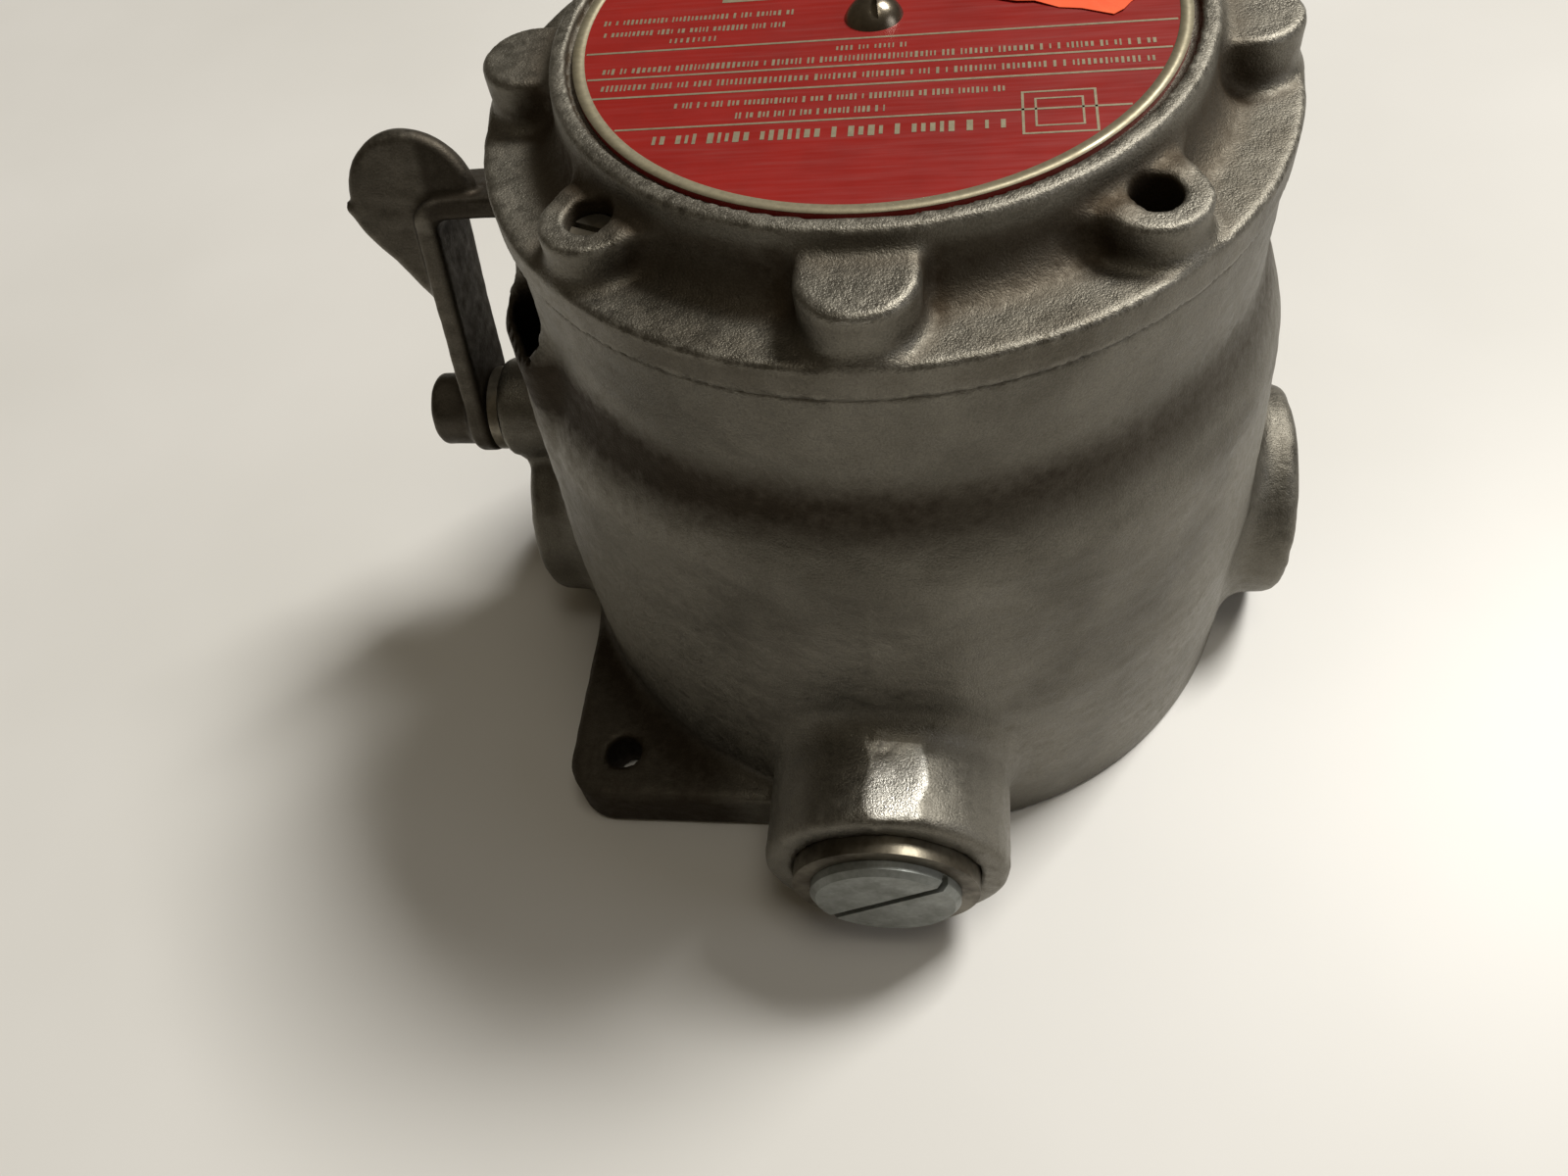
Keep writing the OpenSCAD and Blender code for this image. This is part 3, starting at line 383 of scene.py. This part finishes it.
def leverField(x, y, z):
    s = leverCasting
    up = z - s["pivotZ"]
    lean = math.radians(s["lean"])
    across = math.cos(lean) * y - math.sin(lean) * up
    along = math.sin(lean) * y + math.cos(lean) * up
    half = s["width"] / 2
    strap = block(x, across, along, (-s["outer"], -half, 0), (-s["inner"], half, s["bend"] - 1), 1.2)
    foot = rod(-x, np.hypot(across, along), half, s["inner"], s["outer"], 1.2)
    finger = block(x, across, along,
                   (-s["outer"] + 1, -half, s["bend"] - 4.5), (-s["finger"], half, s["bend"]), 1.2)
    f = join(np.minimum(strap, foot), finger, 2.5)
    bendX, bendZ = s["outer"] - s["bendR"], s["bend"] - s["bendR"]
    f = common(f, np.hypot(np.maximum(-x - bendX, 0), np.maximum(along - bendZ, 0)) - s["bendR"], 1.0)
    pad = common(padPlan(x, along), np.abs(across - s["padY"]) - s["padT"] / 2, 1.6)
    f = join(f, pad, 1.2)
    overShaft = np.hypot(y, up)
    f = join(f, rod(-x, overShaft, s["hubR"], s["inner"], s["hubEnd"], 1.2), 1.8)
    f = drill(f, rod(-x, overShaft, s["shaftR"], 75, s["boreEnd"], 0.2), 0.4)
    return drill(f, rod(up, np.hypot(x + s["pinX"], y), s["pinR"], -12, 6.4), 0.2)


# ---- receptacle housing and its lid ----

outletHousing = {
    "body": "box", "step": 0.9, "unevenness": 0.07, "axisZ": 56.0, "flangeR": 35.5,
    "seat": sleeveLow[1], "flangeT": 7.0, "sleeveR": 26.0, "boreR": 22.5,
    "rearR": 23.0, "rearEnd": 85.5, "mouth": 112.5, "earFrom": 100.5, "armFrom": 102,
    "hingeY": 114.5, "hingeZ": 87.2, "earR": 4.2, "earIn": 10.0, "earOut": 17.0,
    "free": lambda p: np.clip((p[:, 1] - 77) / 2, 0, 1) * np.clip((111.5 - p[:, 1]) / 2, 0, 1)
    * np.clip((np.hypot(p[:, 0], p[:, 2] - 56) - 24) / 1.5, 0, 1),
    "grimeAndShade": lambda p: 0.25 * np.clip((86 - p[:, 1]) / 4, 0, 1),
    "rubbedAndHighlight": lambda p: 0.0 * p[:, 2],
}
outletLid = {
    "body": "flap", "step": 0.75, "unevenness": 0.06, "inner": 114.0, "thick": 4.5, "discR": 27.0,
    "domeR": 19.0, "domeH": 2.5, "knuckle": 9.6, "slot": 5.4,
    "free": lambda p: np.clip((p[:, 1] - 115.5) / 2, 0, 1),
    "grimeAndShade": lambda p: 0.0 * p[:, 2],
    "rubbedAndHighlight": lambda p: 0.3 * np.clip((p[:, 1] - 120) / 1, 0, 1),
}


def housingField(x, y, z):
    s = outletHousing
    radial = np.hypot(x, z - s["axisZ"])
    f = join(rod(y, radial, s["flangeR"], s["seat"], s["seat"] + s["flangeT"], 1.2),
             rod(y, radial, s["sleeveR"], s["seat"], s["mouth"], 0.8), 3.0)
    side = np.abs(x)
    ear = block(side, y, z, (s["earIn"], s["earFrom"], 70),
                (s["earOut"], s["mouth"], s["hingeZ"] + s["earR"]), 0.8)
    arm = block(side, y, z, (s["earIn"], s["armFrom"], s["hingeZ"] - s["earR"]),
                (s["earOut"], s["hingeY"], s["hingeZ"] + s["earR"]), 0.8)
    overPin = np.hypot(y - s["hingeY"], z - s["hingeZ"])
    nose = rod(side, overPin, s["earR"], s["earIn"], s["earOut"], 0.8)
    f = join(f, np.minimum(np.minimum(ear, arm), nose), 1.5)
    f = common(f, s["seat"] - y, 0.3)
    f = drill(f, rod(y, radial, s["boreR"], 60, 130), 0.6)
    f = drill(f, rod(y, radial, s["rearR"], 60, s["rearEnd"]), 0.2)
    u, v = folded(x, z - s["axisZ"], 4, 45)
    f = drill(f, rod(y, np.hypot(u - screws["outletAt"], v), screws["clearR"], 60, 90), 0.3)
    return drill(f, rod(x, overPin, screws["hingeR"], -30, 30), 0.3)


def lidField(x, y, z):
    s, h = outletLid, outletHousing
    radial = np.hypot(x, z - h["axisZ"])
    outer = s["inner"] + s["thick"]
    f = rod(y, radial, s["discR"], s["inner"], outer, 1.1)
    dome = radial - np.interp(y, [outer, outer + s["domeH"]], [s["domeR"] + 1, s["domeR"] - 2])
    f = join(f, common(common(dome * 0.7, y - outer - s["domeH"], 0.8), 115 - y, 0.2), 1.5)
    arm = block(x, y, z, (-s["knuckle"], s["inner"], 74), (s["knuckle"], outer, h["hingeZ"]), 0.5)
    overPin = np.hypot(y - h["hingeY"], z - h["hingeZ"])
    nose = rod(x, overPin, h["earR"], -s["knuckle"], s["knuckle"], 0.5)
    f = join(f, np.minimum(arm, nose), 1.0)
    f = drill(f, rod(x, overPin, screws["hingeR"], -30, 30), 0.3)
    # notch that the spring sits in, round the pin
    return drill(f, block(x, y, z, (-s["slot"], 106.5, 83.2), (s["slot"], 126.5, 103.2)), 0.4)


bodySkin = casting("bodySkin", bodyField, boxBody, bodyLow, bodyHigh)
coverSkin = casting("coverSkin", coverField, coverCasting, coverLow, coverHigh)
leverSkin = casting("leverSkin", leverField, leverCasting, leverLow, leverHigh)
housingSkin = casting("housingSkin", housingField, outletHousing, sleeveLow, sleeveHigh)
lidSkin = casting("lidSkin", lidField, outletLid, *boxMm("flap_cover"))
for piece, node, slotName in (
    (bodySkin, "body_casting", "cast_aluminium"),
    (coverSkin, "cover_casting", "cover_aluminium"),
    (leverSkin, "operating_lever", "lever_casting"),
    (housingSkin, "receptacle_housing", "cast_aluminium"),
    (lidSkin, "flap_cover", "cover_aluminium"),
):
    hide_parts(node)


# ---- print on the rating plate: rules, a plain square and rows of dashes in place of words ----

plateHigh = boxMm("rating_plate")[1]
platePrint = {
    "z": plateHigh[2], "sunk": 0.02, "lift": 0.04,
    # a rule is (y, half length, width)
    "rules": [(-5.75, 42.3, 0.42), (-12.4, 41.0, 0.42), (-17.2, 39.4, 0.42), (-24.9, 34.8, 0.38),
              (15.5, 39.5, 0.4), (26.8, 33.0, 0.4)],
    # a row of dashes is (y, from x, to x, height, stroke)
    "rows": [(-27.7, -29, 18.5, 2.3, 0.62), (-22.9, -18, 2.5, 1.4, 0.3), (-19.9, -27, 18.5, 1.4, 0.3),
             (-14.8, -38.5, 38.5, 1.5, 0.32), (-10.6, -39, 39, 1.5, 0.32), (-8.0, -5, 5, 1.2, 0.28),
             (-3.5, -30, -23, 1.3, 0.3), (-0.9, -40.5, -13, 1.4, 0.3), (2.3, -41, -12, 1.4, 0.3),
             (8.5, 10, 38, 1.4, 0.3), (12.5, 8, 36, 1.4, 0.3), (18.5, -30, 30, 1.4, 0.3),
             (23.0, -26, 26, 1.4, 0.3)],
    # outlines are (x0, y0, x1, y1, stroke)
    "frames": [(20.6, -30.3, 30.4, -20.9, 0.35), (22.3, -28.7, 28.7, -22.5, 0.3)],
    "panel": (-23.2, 6.0, -9.5, 12.5),
    "borderIn": 43.0, "borderOut": 44.82, "borderLift": 0.05, "borderSides": 160,
}


def slabs(rects, bottom, top):
    # closed thin boxes, one for each row of x0, y0, x1, y1
    r = np.asarray(rects, float)
    corner = np.stack([np.stack([r[:, a], r[:, b]], 1) for a, b in ((0, 1), (2, 1), (2, 3), (0, 3))], 1)
    level = [np.concatenate([corner, np.full(corner.shape[:2] + (1,), h)], 2) for h in (bottom, top)]
    points = np.concatenate(level, 1)
    side = np.array([(3, 2, 1, 0), (4, 5, 6, 7), (0, 1, 5, 4), (1, 2, 6, 5), (2, 3, 7, 6), (3, 0, 4, 7)])
    faces = (side[None] + 8 * np.arange(len(r))[:, None, None]).reshape(-1, 4)
    return points.reshape(-1, 3), faces


def dashRow(y, x0, x1, tall, wide, rng):
    # dashes with the widths and gaps of a printed row, gathered into word-long groups
    count = int((x1 - x0) / (wide * 2.4))
    width = rng.uniform(0.6, 1.3, count) * wide * 1.1
    gap = np.where(rng.random(count) < 0.2, 2.6, 1.0) * wide
    start = np.cumsum(width + gap) - width - gap
    start = x0 + start * (x1 - x0) / (start[-1] + width[-1])
    height = tall * rng.choice([0.8, 1.0], count)
    return np.stack([start, y - height / 2, start + width, y + height / 2], 1)


def frameRects(x0, y0, x1, y1, w):
    # outline of a rectangle, drawn w wide inside its edges
    return [(x0, y0, x1, y0 + w), (x0, y1 - w, x1, y1),
            (x0, y0 + w, x0 + w, y1 - w), (x1 - w, y0 + w, x1, y1 - w)]


rng = np.random.default_rng(11)
s = platePrint
printRects = [(-w, y - t / 2, w, y + t / 2) for y, w, t in s["rules"]]
printRects += [rect for outline in s["frames"] for rect in frameRects(*outline)] + [s["panel"]]
printRects = np.concatenate([np.array(printRects)] + [dashRow(*row, rng) for row in s["rows"]])
printSlabs = slabs(printRects, s["z"] - s["sunk"], s["z"] + s["lift"])
platePrintPiece = meshObject("platePrint", *printSlabs, "box", smooth=False)

# bare border ring left round the printed red field
ringCount = s["borderSides"]
turn = np.arange(ringCount) * 2 * math.pi / ringCount
below, top = s["z"] - s["sunk"], s["z"] + s["borderLift"]
profile = ((s["borderIn"], below), (s["borderIn"], top), (s["borderOut"], top), (s["borderOut"], below))
ringPoints = np.concatenate([np.stack([r * np.cos(turn), r * np.sin(turn), np.full(ringCount, h)], 1)
                             for r, h in profile])
i = np.arange(ringCount)
j = (i + 1) % ringCount
ringFaces = [np.stack([a * ringCount + i, a * ringCount + j, b * ringCount + j, b * ringCount + i], 1)
             for a, b in ((0, 1), (1, 2), (2, 3), (3, 0))]
ringFaces = np.concatenate(ringFaces)
plateBorder = meshObject("plateBorder", ringPoints, ringFaces[:, ::-1], "box")

# torn remnant of a bright paper label
labelScrap = {
    "outline": [(16.7, 2.4), (20.5, 0.9), (23.0, 0.7), (26.4, -1.2), (29.5, -1.9), (33.8, -3.9),
                (35.2, -2.9), (36.3, -1.0), (37.6, 0.4), (37.0, 3.6), (38.1, 6.0), (36.4, 9.0),
                (33.0, 10.4), (28.5, 9.3), (24.0, 10.8), (19.5, 9.4), (17.2, 6.2)],
    "lift": 0.05, "curl": 0.25, "curlSize": 9, "curlSeed": 8, "middleLift": 0.12, "thick": 0.1,
}
rim = np.array(labelScrap["outline"])
n = len(rim)
curl = np.clip(waviness(np.c_[rim, 0 * rim[:, :1]], labelScrap["curlSize"], labelScrap["curlSeed"]), 0, 1)
lift = s["z"] + labelScrap["lift"] + labelScrap["curl"] * curl
centre = np.r_[rim.mean(0), s["z"] + labelScrap["middleLift"]]
thick = labelScrap["thick"]
labelPoints = np.concatenate([np.c_[rim, lift], np.c_[rim, lift + thick], [centre], [centre + (0, 0, thick)]])
i = np.arange(n)
j = (i + 1) % n
labelFaces = [[2 * n, b, a] for a, b in zip(i, j)] + [[2 * n + 1, n + a, n + b] for a, b in zip(i, j)]
labelFaces += [[a, b, n + b] for a, b in zip(i, j)] + [[a, n + b, n + a] for a, b in zip(i, j)]
labelPiece = meshObject("labelScrap", labelPoints, labelFaces, "box", smooth=False)
print("plate print made")


# ---- materials ----

def hexLinear(code):
    c = np.array([int(code[i:i + 2], 16) / 255 for i in (0, 2, 4)])
    return tuple(np.where(c <= 0.04045, c / 12.92, ((c + 0.055) / 1.055) ** 2.4)) + (1.0,)


def addNode(tree, kind, settings=None, links=None):
    # properties first, then sockets by name or number; a link is (node, output)
    node = tree.nodes.new("ShaderNode" + kind)
    for key, value in (settings or {}).items():
        if isinstance(key, str) and key not in node.inputs:
            setattr(node, key, value)
    for key, value in (settings or {}).items():
        if not isinstance(key, str) or key in node.inputs:
            node.inputs[key].default_value = value
    for key, (source, output) in (links or {}).items():
        tree.links.new(source.outputs[output], node.inputs[key])
    return node


def newMaterial(name, shaderSettings):
    material = bpy.data.materials.new(name)
    material.use_nodes = True
    tree = material.node_tree
    tree.nodes.clear()
    out = addNode(tree, "OutputMaterial")
    shader = addNode(tree, "BsdfPrincipled", shaderSettings)
    tree.links.new(shader.outputs[0], out.inputs[0])
    place = addNode(tree, "TexCoord")
    return material, tree, shader, place


def stretched(tree, source, low, high, outLow=0.0, outHigh=1.0):
    limits = {"From Min": low, "From Max": high, "To Min": outLow, "To Max": outHigh}
    return addNode(tree, "MapRange", limits, {"Value": source})


def noise(tree, where, scale, detail, roughness=0.5):
    settings = {"Scale": scale, "Detail": detail, "Roughness": roughness}
    return addNode(tree, "TexNoise", settings, {"Vector": where})


def combined(tree, operation, links, constants=None):
    # arithmetic on links, with any constant inputs given by number
    return addNode(tree, "Math", {"operation": operation, **(constants or {})}, links)


def mixed(tree, factor, first, second, blend="MIX"):
    # colour mix: factor and colours may be links or constants
    node = addNode(tree, "Mix", {"data_type": "RGBA", "blend_type": blend})
    for index, item in ((0, factor), (6, first), (7, second)):
        if isinstance(item, tuple) and len(item) == 2:
            tree.links.new(item[0].outputs[item[1]], node.inputs[index])
        else:
            node.inputs[index].default_value = item
    return node


# Sand-cast aluminium, aged: oxidised grey-brown skin, pale metal where handling wears it, partly a painted
# highlight, brown-black dirt and painted shade in the recesses, and 0.3 mm sand grain that glitters
def castAluminium(name, base, paleAndHighlight, dirtAndShade, roughness, grain, dirtAndShadeAmount, metal=0.9):
    bare = hexLinear("CFCCC4")
    material, tree, shader, place = newMaterial(name, {"Metallic": metal})
    where = (place, "Object")
    patches = noise(tree, where, 30, 6, 0.6)      # 33 mm stains
    speckle = noise(tree, where, 520, 4, 0.65)    # 2 mm mottling
    sand = noise(tree, where, 3200, 2, 0.6)       # 0.3 mm sand grain
    recess, edge, grimeAndShade, rubbedAndHighlight = [addNode(tree, "Attribute", {"attribute_name": mark})
                                   for mark in ("recess", "edge", "grimeAndShade", "rubbedAndHighlight")]
    colour = mixed(tree, (stretched(tree, (patches, "Fac"), 0.36, 0.66), 0), base, paleAndHighlight)
    # paler on worn edges and rubbed tops, partly a painted highlight, broken up by the mottling
    broken = stretched(tree, (speckle, "Fac"), 0.35, 0.6)
    wearAndHighlight = combined(tree, "MULTIPLY", {0: (edge, "Fac"), 1: (broken, 0)})
    wearAndHighlight = combined(tree, "MAXIMUM", {0: (wearAndHighlight, 0), 1: (rubbedAndHighlight, "Fac")})
    colour = mixed(tree, (stretched(tree, (wearAndHighlight, 0), 0.1, 0.9, 0.0, 0.8), 0), (colour, 2), paleAndHighlight)
    colour = mixed(tree, (stretched(tree, (rubbedAndHighlight, "Fac"), 0.6, 0.95, 0.0, 0.85), 0), (colour, 2), bare)
    mottled = stretched(tree, (speckle, "Fac"), 0.3, 0.7, 0.82, 1.12)
    grainy = stretched(tree, (sand, "Fac"), 0.3, 0.7, 0.8, 1.15)
    tone = combined(tree, "MULTIPLY", {0: (mottled, 0), 1: (grainy, 0)})
    colour = mixed(tree, 1.0, (colour, 2), (tone, 0), "MULTIPLY")
    # dirt and painted shade where the metal closes in and in the marked bands, broken up by the stains
    ragged = combined(tree, "MULTIPLY_ADD", {0: (patches, "Fac")}, {1: 1.1, 2: -0.60})
    ragged = combined(tree, "MULTIPLY_ADD", {0: (speckle, "Fac"), 2: (ragged, 0)}, {1: 0.5})
    dirtAndShadeSum = combined(tree, "ADD", {0: (recess, "Fac"), 1: (grimeAndShade, "Fac")})
    dirtAndShadeSum = combined(tree, "ADD", {0: (dirtAndShadeSum, 0), 1: (ragged, 0)})
    dirtAndShadeMask = stretched(tree, (dirtAndShadeSum, 0), 0.28, 1.00, 0.0, dirtAndShadeAmount)
    colour = mixed(tree, (dirtAndShadeMask, 0), (colour, 2), dirtAndShade)
    tree.links.new(colour.outputs[2], shader.inputs["Base Color"])
    shine = stretched(tree, (speckle, "Fac"), 0.3, 0.7, roughness - 0.08, roughness + 0.10)
    # rubbed metal and the painted highlights are smoother, and dirt and painted shade are duller
    shine = combined(tree, "MULTIPLY_ADD", {0: (rubbedAndHighlight, "Fac"), 2: (shine, 0)}, {1: -0.10})
    shine = combined(tree, "MULTIPLY_ADD", {0: (dirtAndShadeMask, 0), 2: (shine, 0)}, {1: 0.22})
    tree.links.new(shine.outputs[0], shader.inputs["Roughness"])
    height = combined(tree, "MULTIPLY_ADD", {0: (speckle, "Fac"), 2: (sand, "Fac")}, {1: 1.5})
    bump = addNode(tree, "Bump", {"Strength": grain, "Distance": 0.00012}, {"Height": (height, 0)})
    tree.links.new(bump.outputs[0], shader.inputs["Normal"])
    return material


# Machined or plated metal: fine turning marks and a light film of dirt
def machinedMetal(name, base, stain, roughness, metal=0.9, marks=900, bumpHeight=0.00004):
    material, tree, shader, place = newMaterial(name, {"Metallic": metal})
    where = (place, "Object")
    cloud = noise(tree, where, 160, 4, 0.6)
    fine = noise(tree, where, marks, 3, 0.6)
    film = stretched(tree, (cloud, "Fac"), 0.4, 0.72, 0.0, 0.85)
    colour = mixed(tree, (film, 0), base, stain)
    tone = stretched(tree, (fine, "Fac"), 0.3, 0.7, 0.85, 1.12)
    colour = mixed(tree, 1.0, (colour, 2), (tone, 0), "MULTIPLY")
    tree.links.new(colour.outputs[2], shader.inputs["Base Color"])
    shine = stretched(tree, (cloud, "Fac"), 0.3, 0.7, roughness - 0.08, roughness + 0.14)
    tree.links.new(shine.outputs[0], shader.inputs["Roughness"])
    bump = addNode(tree, "Bump", {"Strength": 0.5, "Distance": bumpHeight}, {"Height": (fine, "Fac")})
    tree.links.new(bump.outputs[0], shader.inputs["Normal"])
    return material


# Moulded or rubbery stuff: dull, slightly mottled, faint moulded texture
def mouldedStuff(name, base, second, roughness, scale=600, ior=1.5):
    material, tree, shader, place = newMaterial(name, {"Metallic": 0.0, "IOR": ior})
    where = (place, "Object")
    cloud = noise(tree, where, 90, 5, 0.6)
    fine = noise(tree, where, scale, 3)
    colour = mixed(tree, (stretched(tree, (cloud, "Fac"), 0.35, 0.65), 0), base, second)
    tree.links.new(colour.outputs[2], shader.inputs["Base Color"])
    shine = stretched(tree, (fine, "Fac"), 0.3, 0.7, roughness - 0.06, roughness + 0.08)
    tree.links.new(shine.outputs[0], shader.inputs["Roughness"])
    bump = addNode(tree, "Bump", {"Strength": 0.35, "Distance": 0.00006}, {"Height": (fine, "Fac")})
    tree.links.new(bump.outputs[0], shader.inputs["Normal"])
    return material


# Screen-printed enamel on sheet metal: satin red, hair scratches that run across it, a little dust
def printedRed(name):
    material, tree, shader, place = newMaterial(name, {"Metallic": 0.0, "IOR": 1.5})
    where = (place, "Object")
    along = addNode(tree, "Mapping", {"Scale": (0.06, 1.0, 1.0), "Rotation": (0, 0, 0.08)}, {"Vector": where})
    hair = noise(tree, (along, 0), 1400, 2)       # 0.7 mm wide streaks
    cloud = noise(tree, where, 60, 5, 0.65)
    clouded = stretched(tree, (cloud, "Fac"), 0.35, 0.68)
    colour = mixed(tree, (clouded, 0), hexLinear("8E1A14"), hexLinear("7F1611"))
    scratched = stretched(tree, (hair, "Fac"), 0.62, 0.75, 0.0, 0.35)
    colour = mixed(tree, (scratched, 0), (colour, 2), hexLinear("7E2C24"))
    tree.links.new(colour.outputs[2], shader.inputs["Base Color"])
    shine = stretched(tree, (hair, "Fac"), 0.3, 0.75, 0.34, 0.5)
    tree.links.new(shine.outputs[0], shader.inputs["Roughness"])
    bump = addNode(tree, "Bump", {"Strength": 0.25, "Distance": 0.00003}, {"Height": (hair, "Fac")})
    tree.links.new(bump.outputs[0], shader.inputs["Normal"])
    return material


finishes = {
    "bodyCast": castAluminium(
        "sandCastAluminium", hexLinear("625E55"), hexLinear("827E74"), hexLinear("372E23"), 0.47, 0.9, 0.9),
    "coverCast": castAluminium(
        "sandCastCover", hexLinear("5F5A50"), hexLinear("88847A"), hexLinear("433728"), 0.48, 0.9, 0.88),
    "leverCast": castAluminium(
        "castLever", hexLinear("57524A"), hexLinear("746F65"), hexLinear("2F271D"), 0.44, 0.4, 0.85),
    "plateRed": printedRed("printedRed"),
    "bareTin": machinedMetal("bareTinplate", hexLinear("A69E86"), hexLinear("8A8168"), 0.42, 0.55),
    "zincSteel": machinedMetal("dullZincSteel", hexLinear("8B8578"), hexLinear("4A4235"), 0.34),
    "screwHead": machinedMetal("nickelSteel", hexLinear("8A8172"), hexLinear("3B3328"), 0.24, 0.95),
    "bushing": machinedMetal("turnedAluminium", hexLinear("6E685B"), hexLinear("352D22"), 0.4, 0.9),
    "plug": machinedMetal("turnedPlug", hexLinear("8C8F8B"), hexLinear("6F716B"), 0.5, 0.6),
    "bronze": machinedMetal("oilBronze", hexLinear("A87C42"), hexLinear("6D4C28"), 0.36, 1.0),
    "brass": machinedMetal("contactBrass", hexLinear("C39A55"), hexLinear("8A6A38"), 0.3, 1.0),
    "spring": machinedMetal("springSteel", hexLinear("7A7770"), hexLinear("4B463E"), 0.3, 0.95),
    "green": machinedMetal("greenPassivate", hexLinear("4E7A45"), hexLinear("2E4A2A"), 0.35, 0.7),
    "phenolic": mouldedStuff("mouldedPhenolic", hexLinear("2E2018"), hexLinear("3B2A20"), 0.38, 500),
    "rubber": mouldedStuff("gasketRubber", hexLinear("1E1C1A"), hexLinear("2A2724"), 0.72, 900),
    "sheath": mouldedStuff("leadSheath", hexLinear("24211F"), hexLinear("2F2B28"), 0.5, 700),
    "label": mouldedStuff("dayGlowPaper", hexLinear("FF6A3C"), hexLinear("F0582C"), 0.75, 300, 1.45),
}
worn = {
    "cover_screws": "zincSteel", "rating_plate": "plateRed", "plate_screw": "screwHead",
    "reducing_bushing": "bushing", "hub_plug": "plug", "lever_pin": "spring", "lever_shaft": "zincSteel",
    "shaft_bushing": "bronze", "shaft_seal": "rubber", "thrust_washer": "zincSteel", "retaining_ring": "spring",
    "detent_disc": "zincSteel", "detent_roller": "zincSteel", "detent_leaf": "spring",
    "rotor_core": "phenolic", "rotor_spacers": "phenolic", "moving_contacts": "brass",
    "rotor_collars": "zincSteel", "switch_base": "phenolic", "base_screws": "zincSteel",
    "fixed_contacts": "brass", "terminal_screws": "brass", "load_leads": "sheath",
    "ground_screw": "green", "receptacle_gasket": "rubber",
    "receptacle_screws": "zincSteel", "receptacle_insulator": "phenolic", "contact_tubes": "brass",
    "insulator_ring": "spring", "flap_gasket": "rubber", "flap_pin": "spring", "flap_spring": "spring",
}


def dress(piece, material):
    if not piece.data.materials:
        piece.data.materials.append(material)
    for slot in piece.material_slots:
        slot.material = material


for node, finish in worn.items():
    dress(nodes[node], finishes[finish])
for piece, finish in (
    (bodySkin, "bodyCast"), (housingSkin, "bodyCast"), (coverSkin, "coverCast"), (lidSkin, "coverCast"),
    (leverSkin, "leverCast"), (platePrintPiece, "bareTin"), (plateBorder, "bareTin"), (labelPiece, "label"),
):
    dress(piece, finishes[finish])
print("materials made:", len(finishes))


# ---- floor, light and camera ----

floorMaterial, tree, shader, place = newMaterial("paleFloor", {"Roughness": 0.42, "IOR": 1.45})
floorCloud = addNode(tree, "TexNoise", {"Scale": 5, "Detail": 4}, {"Vector": (place, "Object")})
floorMix = stretched(tree, (floorCloud, "Fac"), 0.35, 0.65)
floorTone = mixed(tree, (floorMix, 0), hexLinear("D3D1CC"), hexLinear("DCDAD6"))
tree.links.new(floorTone.outputs[2], shader.inputs["Base Color"])
half = 6.0
floorMesh = bpy.data.meshes.new("floor")
floorCorners = [(-half, -half, 0), (half, -half, 0), (half, half, 0), (-half, half, 0)]
floorMesh.from_pydata(floorCorners, [], [(0, 1, 2, 3)])
floor = bpy.data.objects.new("floor", floorMesh)
bpy.context.scene.collection.objects.link(floor)
floor.location.z = cadBox[0][2] - 0.0001
dress(floor, floorMaterial)

world = bpy.data.worlds.new("room")
bpy.context.scene.world = world
world.use_nodes = True
world.node_tree.nodes["Background"].inputs["Color"].default_value = hexLinear("FFEBC8")
world.node_tree.nodes["Background"].inputs["Strength"].default_value = 0.085
# plain tone curve, so that the red print keeps its strength
bpy.context.scene.view_settings.view_transform = "Standard"

lamps = [
    {"name": "window", "at": (1.65, 1.45, 3.00), "size": 1.0, "power": 150, "tint": "FFFDF8"},
    {"name": "ceiling", "at": (0.35, -0.25, 2.4), "size": 0.8, "power": 7, "tint": "FFF8E8"},
    {"name": "side", "at": (1.9, -0.4, 0.9), "size": 0.8, "power": 5, "tint": "F6F8FF"},
]
for lamp in lamps:
    data = bpy.data.lights.new(lamp["name"], "AREA")
    data.size = lamp["size"]
    data.energy = lamp["power"]
    data.color = hexLinear(lamp["tint"])[:3]
    light = bpy.data.objects.new(lamp["name"], data)
    bpy.context.scene.collection.objects.link(light)
    light.location = lamp["at"]
    aim = np.array((0, 0, 0.06)) - np.array(lamp["at"])
    light.rotation_euler = Vector(aim).to_track_quat("-Z", "Y").to_euler()

# camera fitted to the outlines in the photo: place in metres, angles in radians, lens in millimetres
view = {"place": (0.01315, -0.16953, 0.22821), "yaw": -0.2524, "pitch": 0.9476, "roll": -0.2021, "lens": 27.8}
cameraData = bpy.data.cameras.new("camera")
cameraData.lens = view["lens"]
cameraData.sensor_width = 36
cameraData.clip_start = 0.01
camera = bpy.data.objects.new("camera", cameraData)
bpy.context.scene.collection.objects.link(camera)
yaw, pitch, roll = view["yaw"], view["pitch"], view["roll"]
ahead = np.array((math.sin(yaw) * math.cos(pitch), math.cos(yaw) * math.cos(pitch), -math.sin(pitch)))
level = np.array((math.cos(yaw), -math.sin(yaw), 0))
above = np.cross(level, ahead)
right = math.cos(roll) * level + math.sin(roll) * above
upward = -math.sin(roll) * level + math.cos(roll) * above
pose = np.eye(4)
pose[:3, 0], pose[:3, 1], pose[:3, 2], pose[:3, 3] = right, upward, -ahead, view["place"]
camera.matrix_world = Matrix(pose.tolist())
bpy.context.scene.camera = camera
print("stage set")
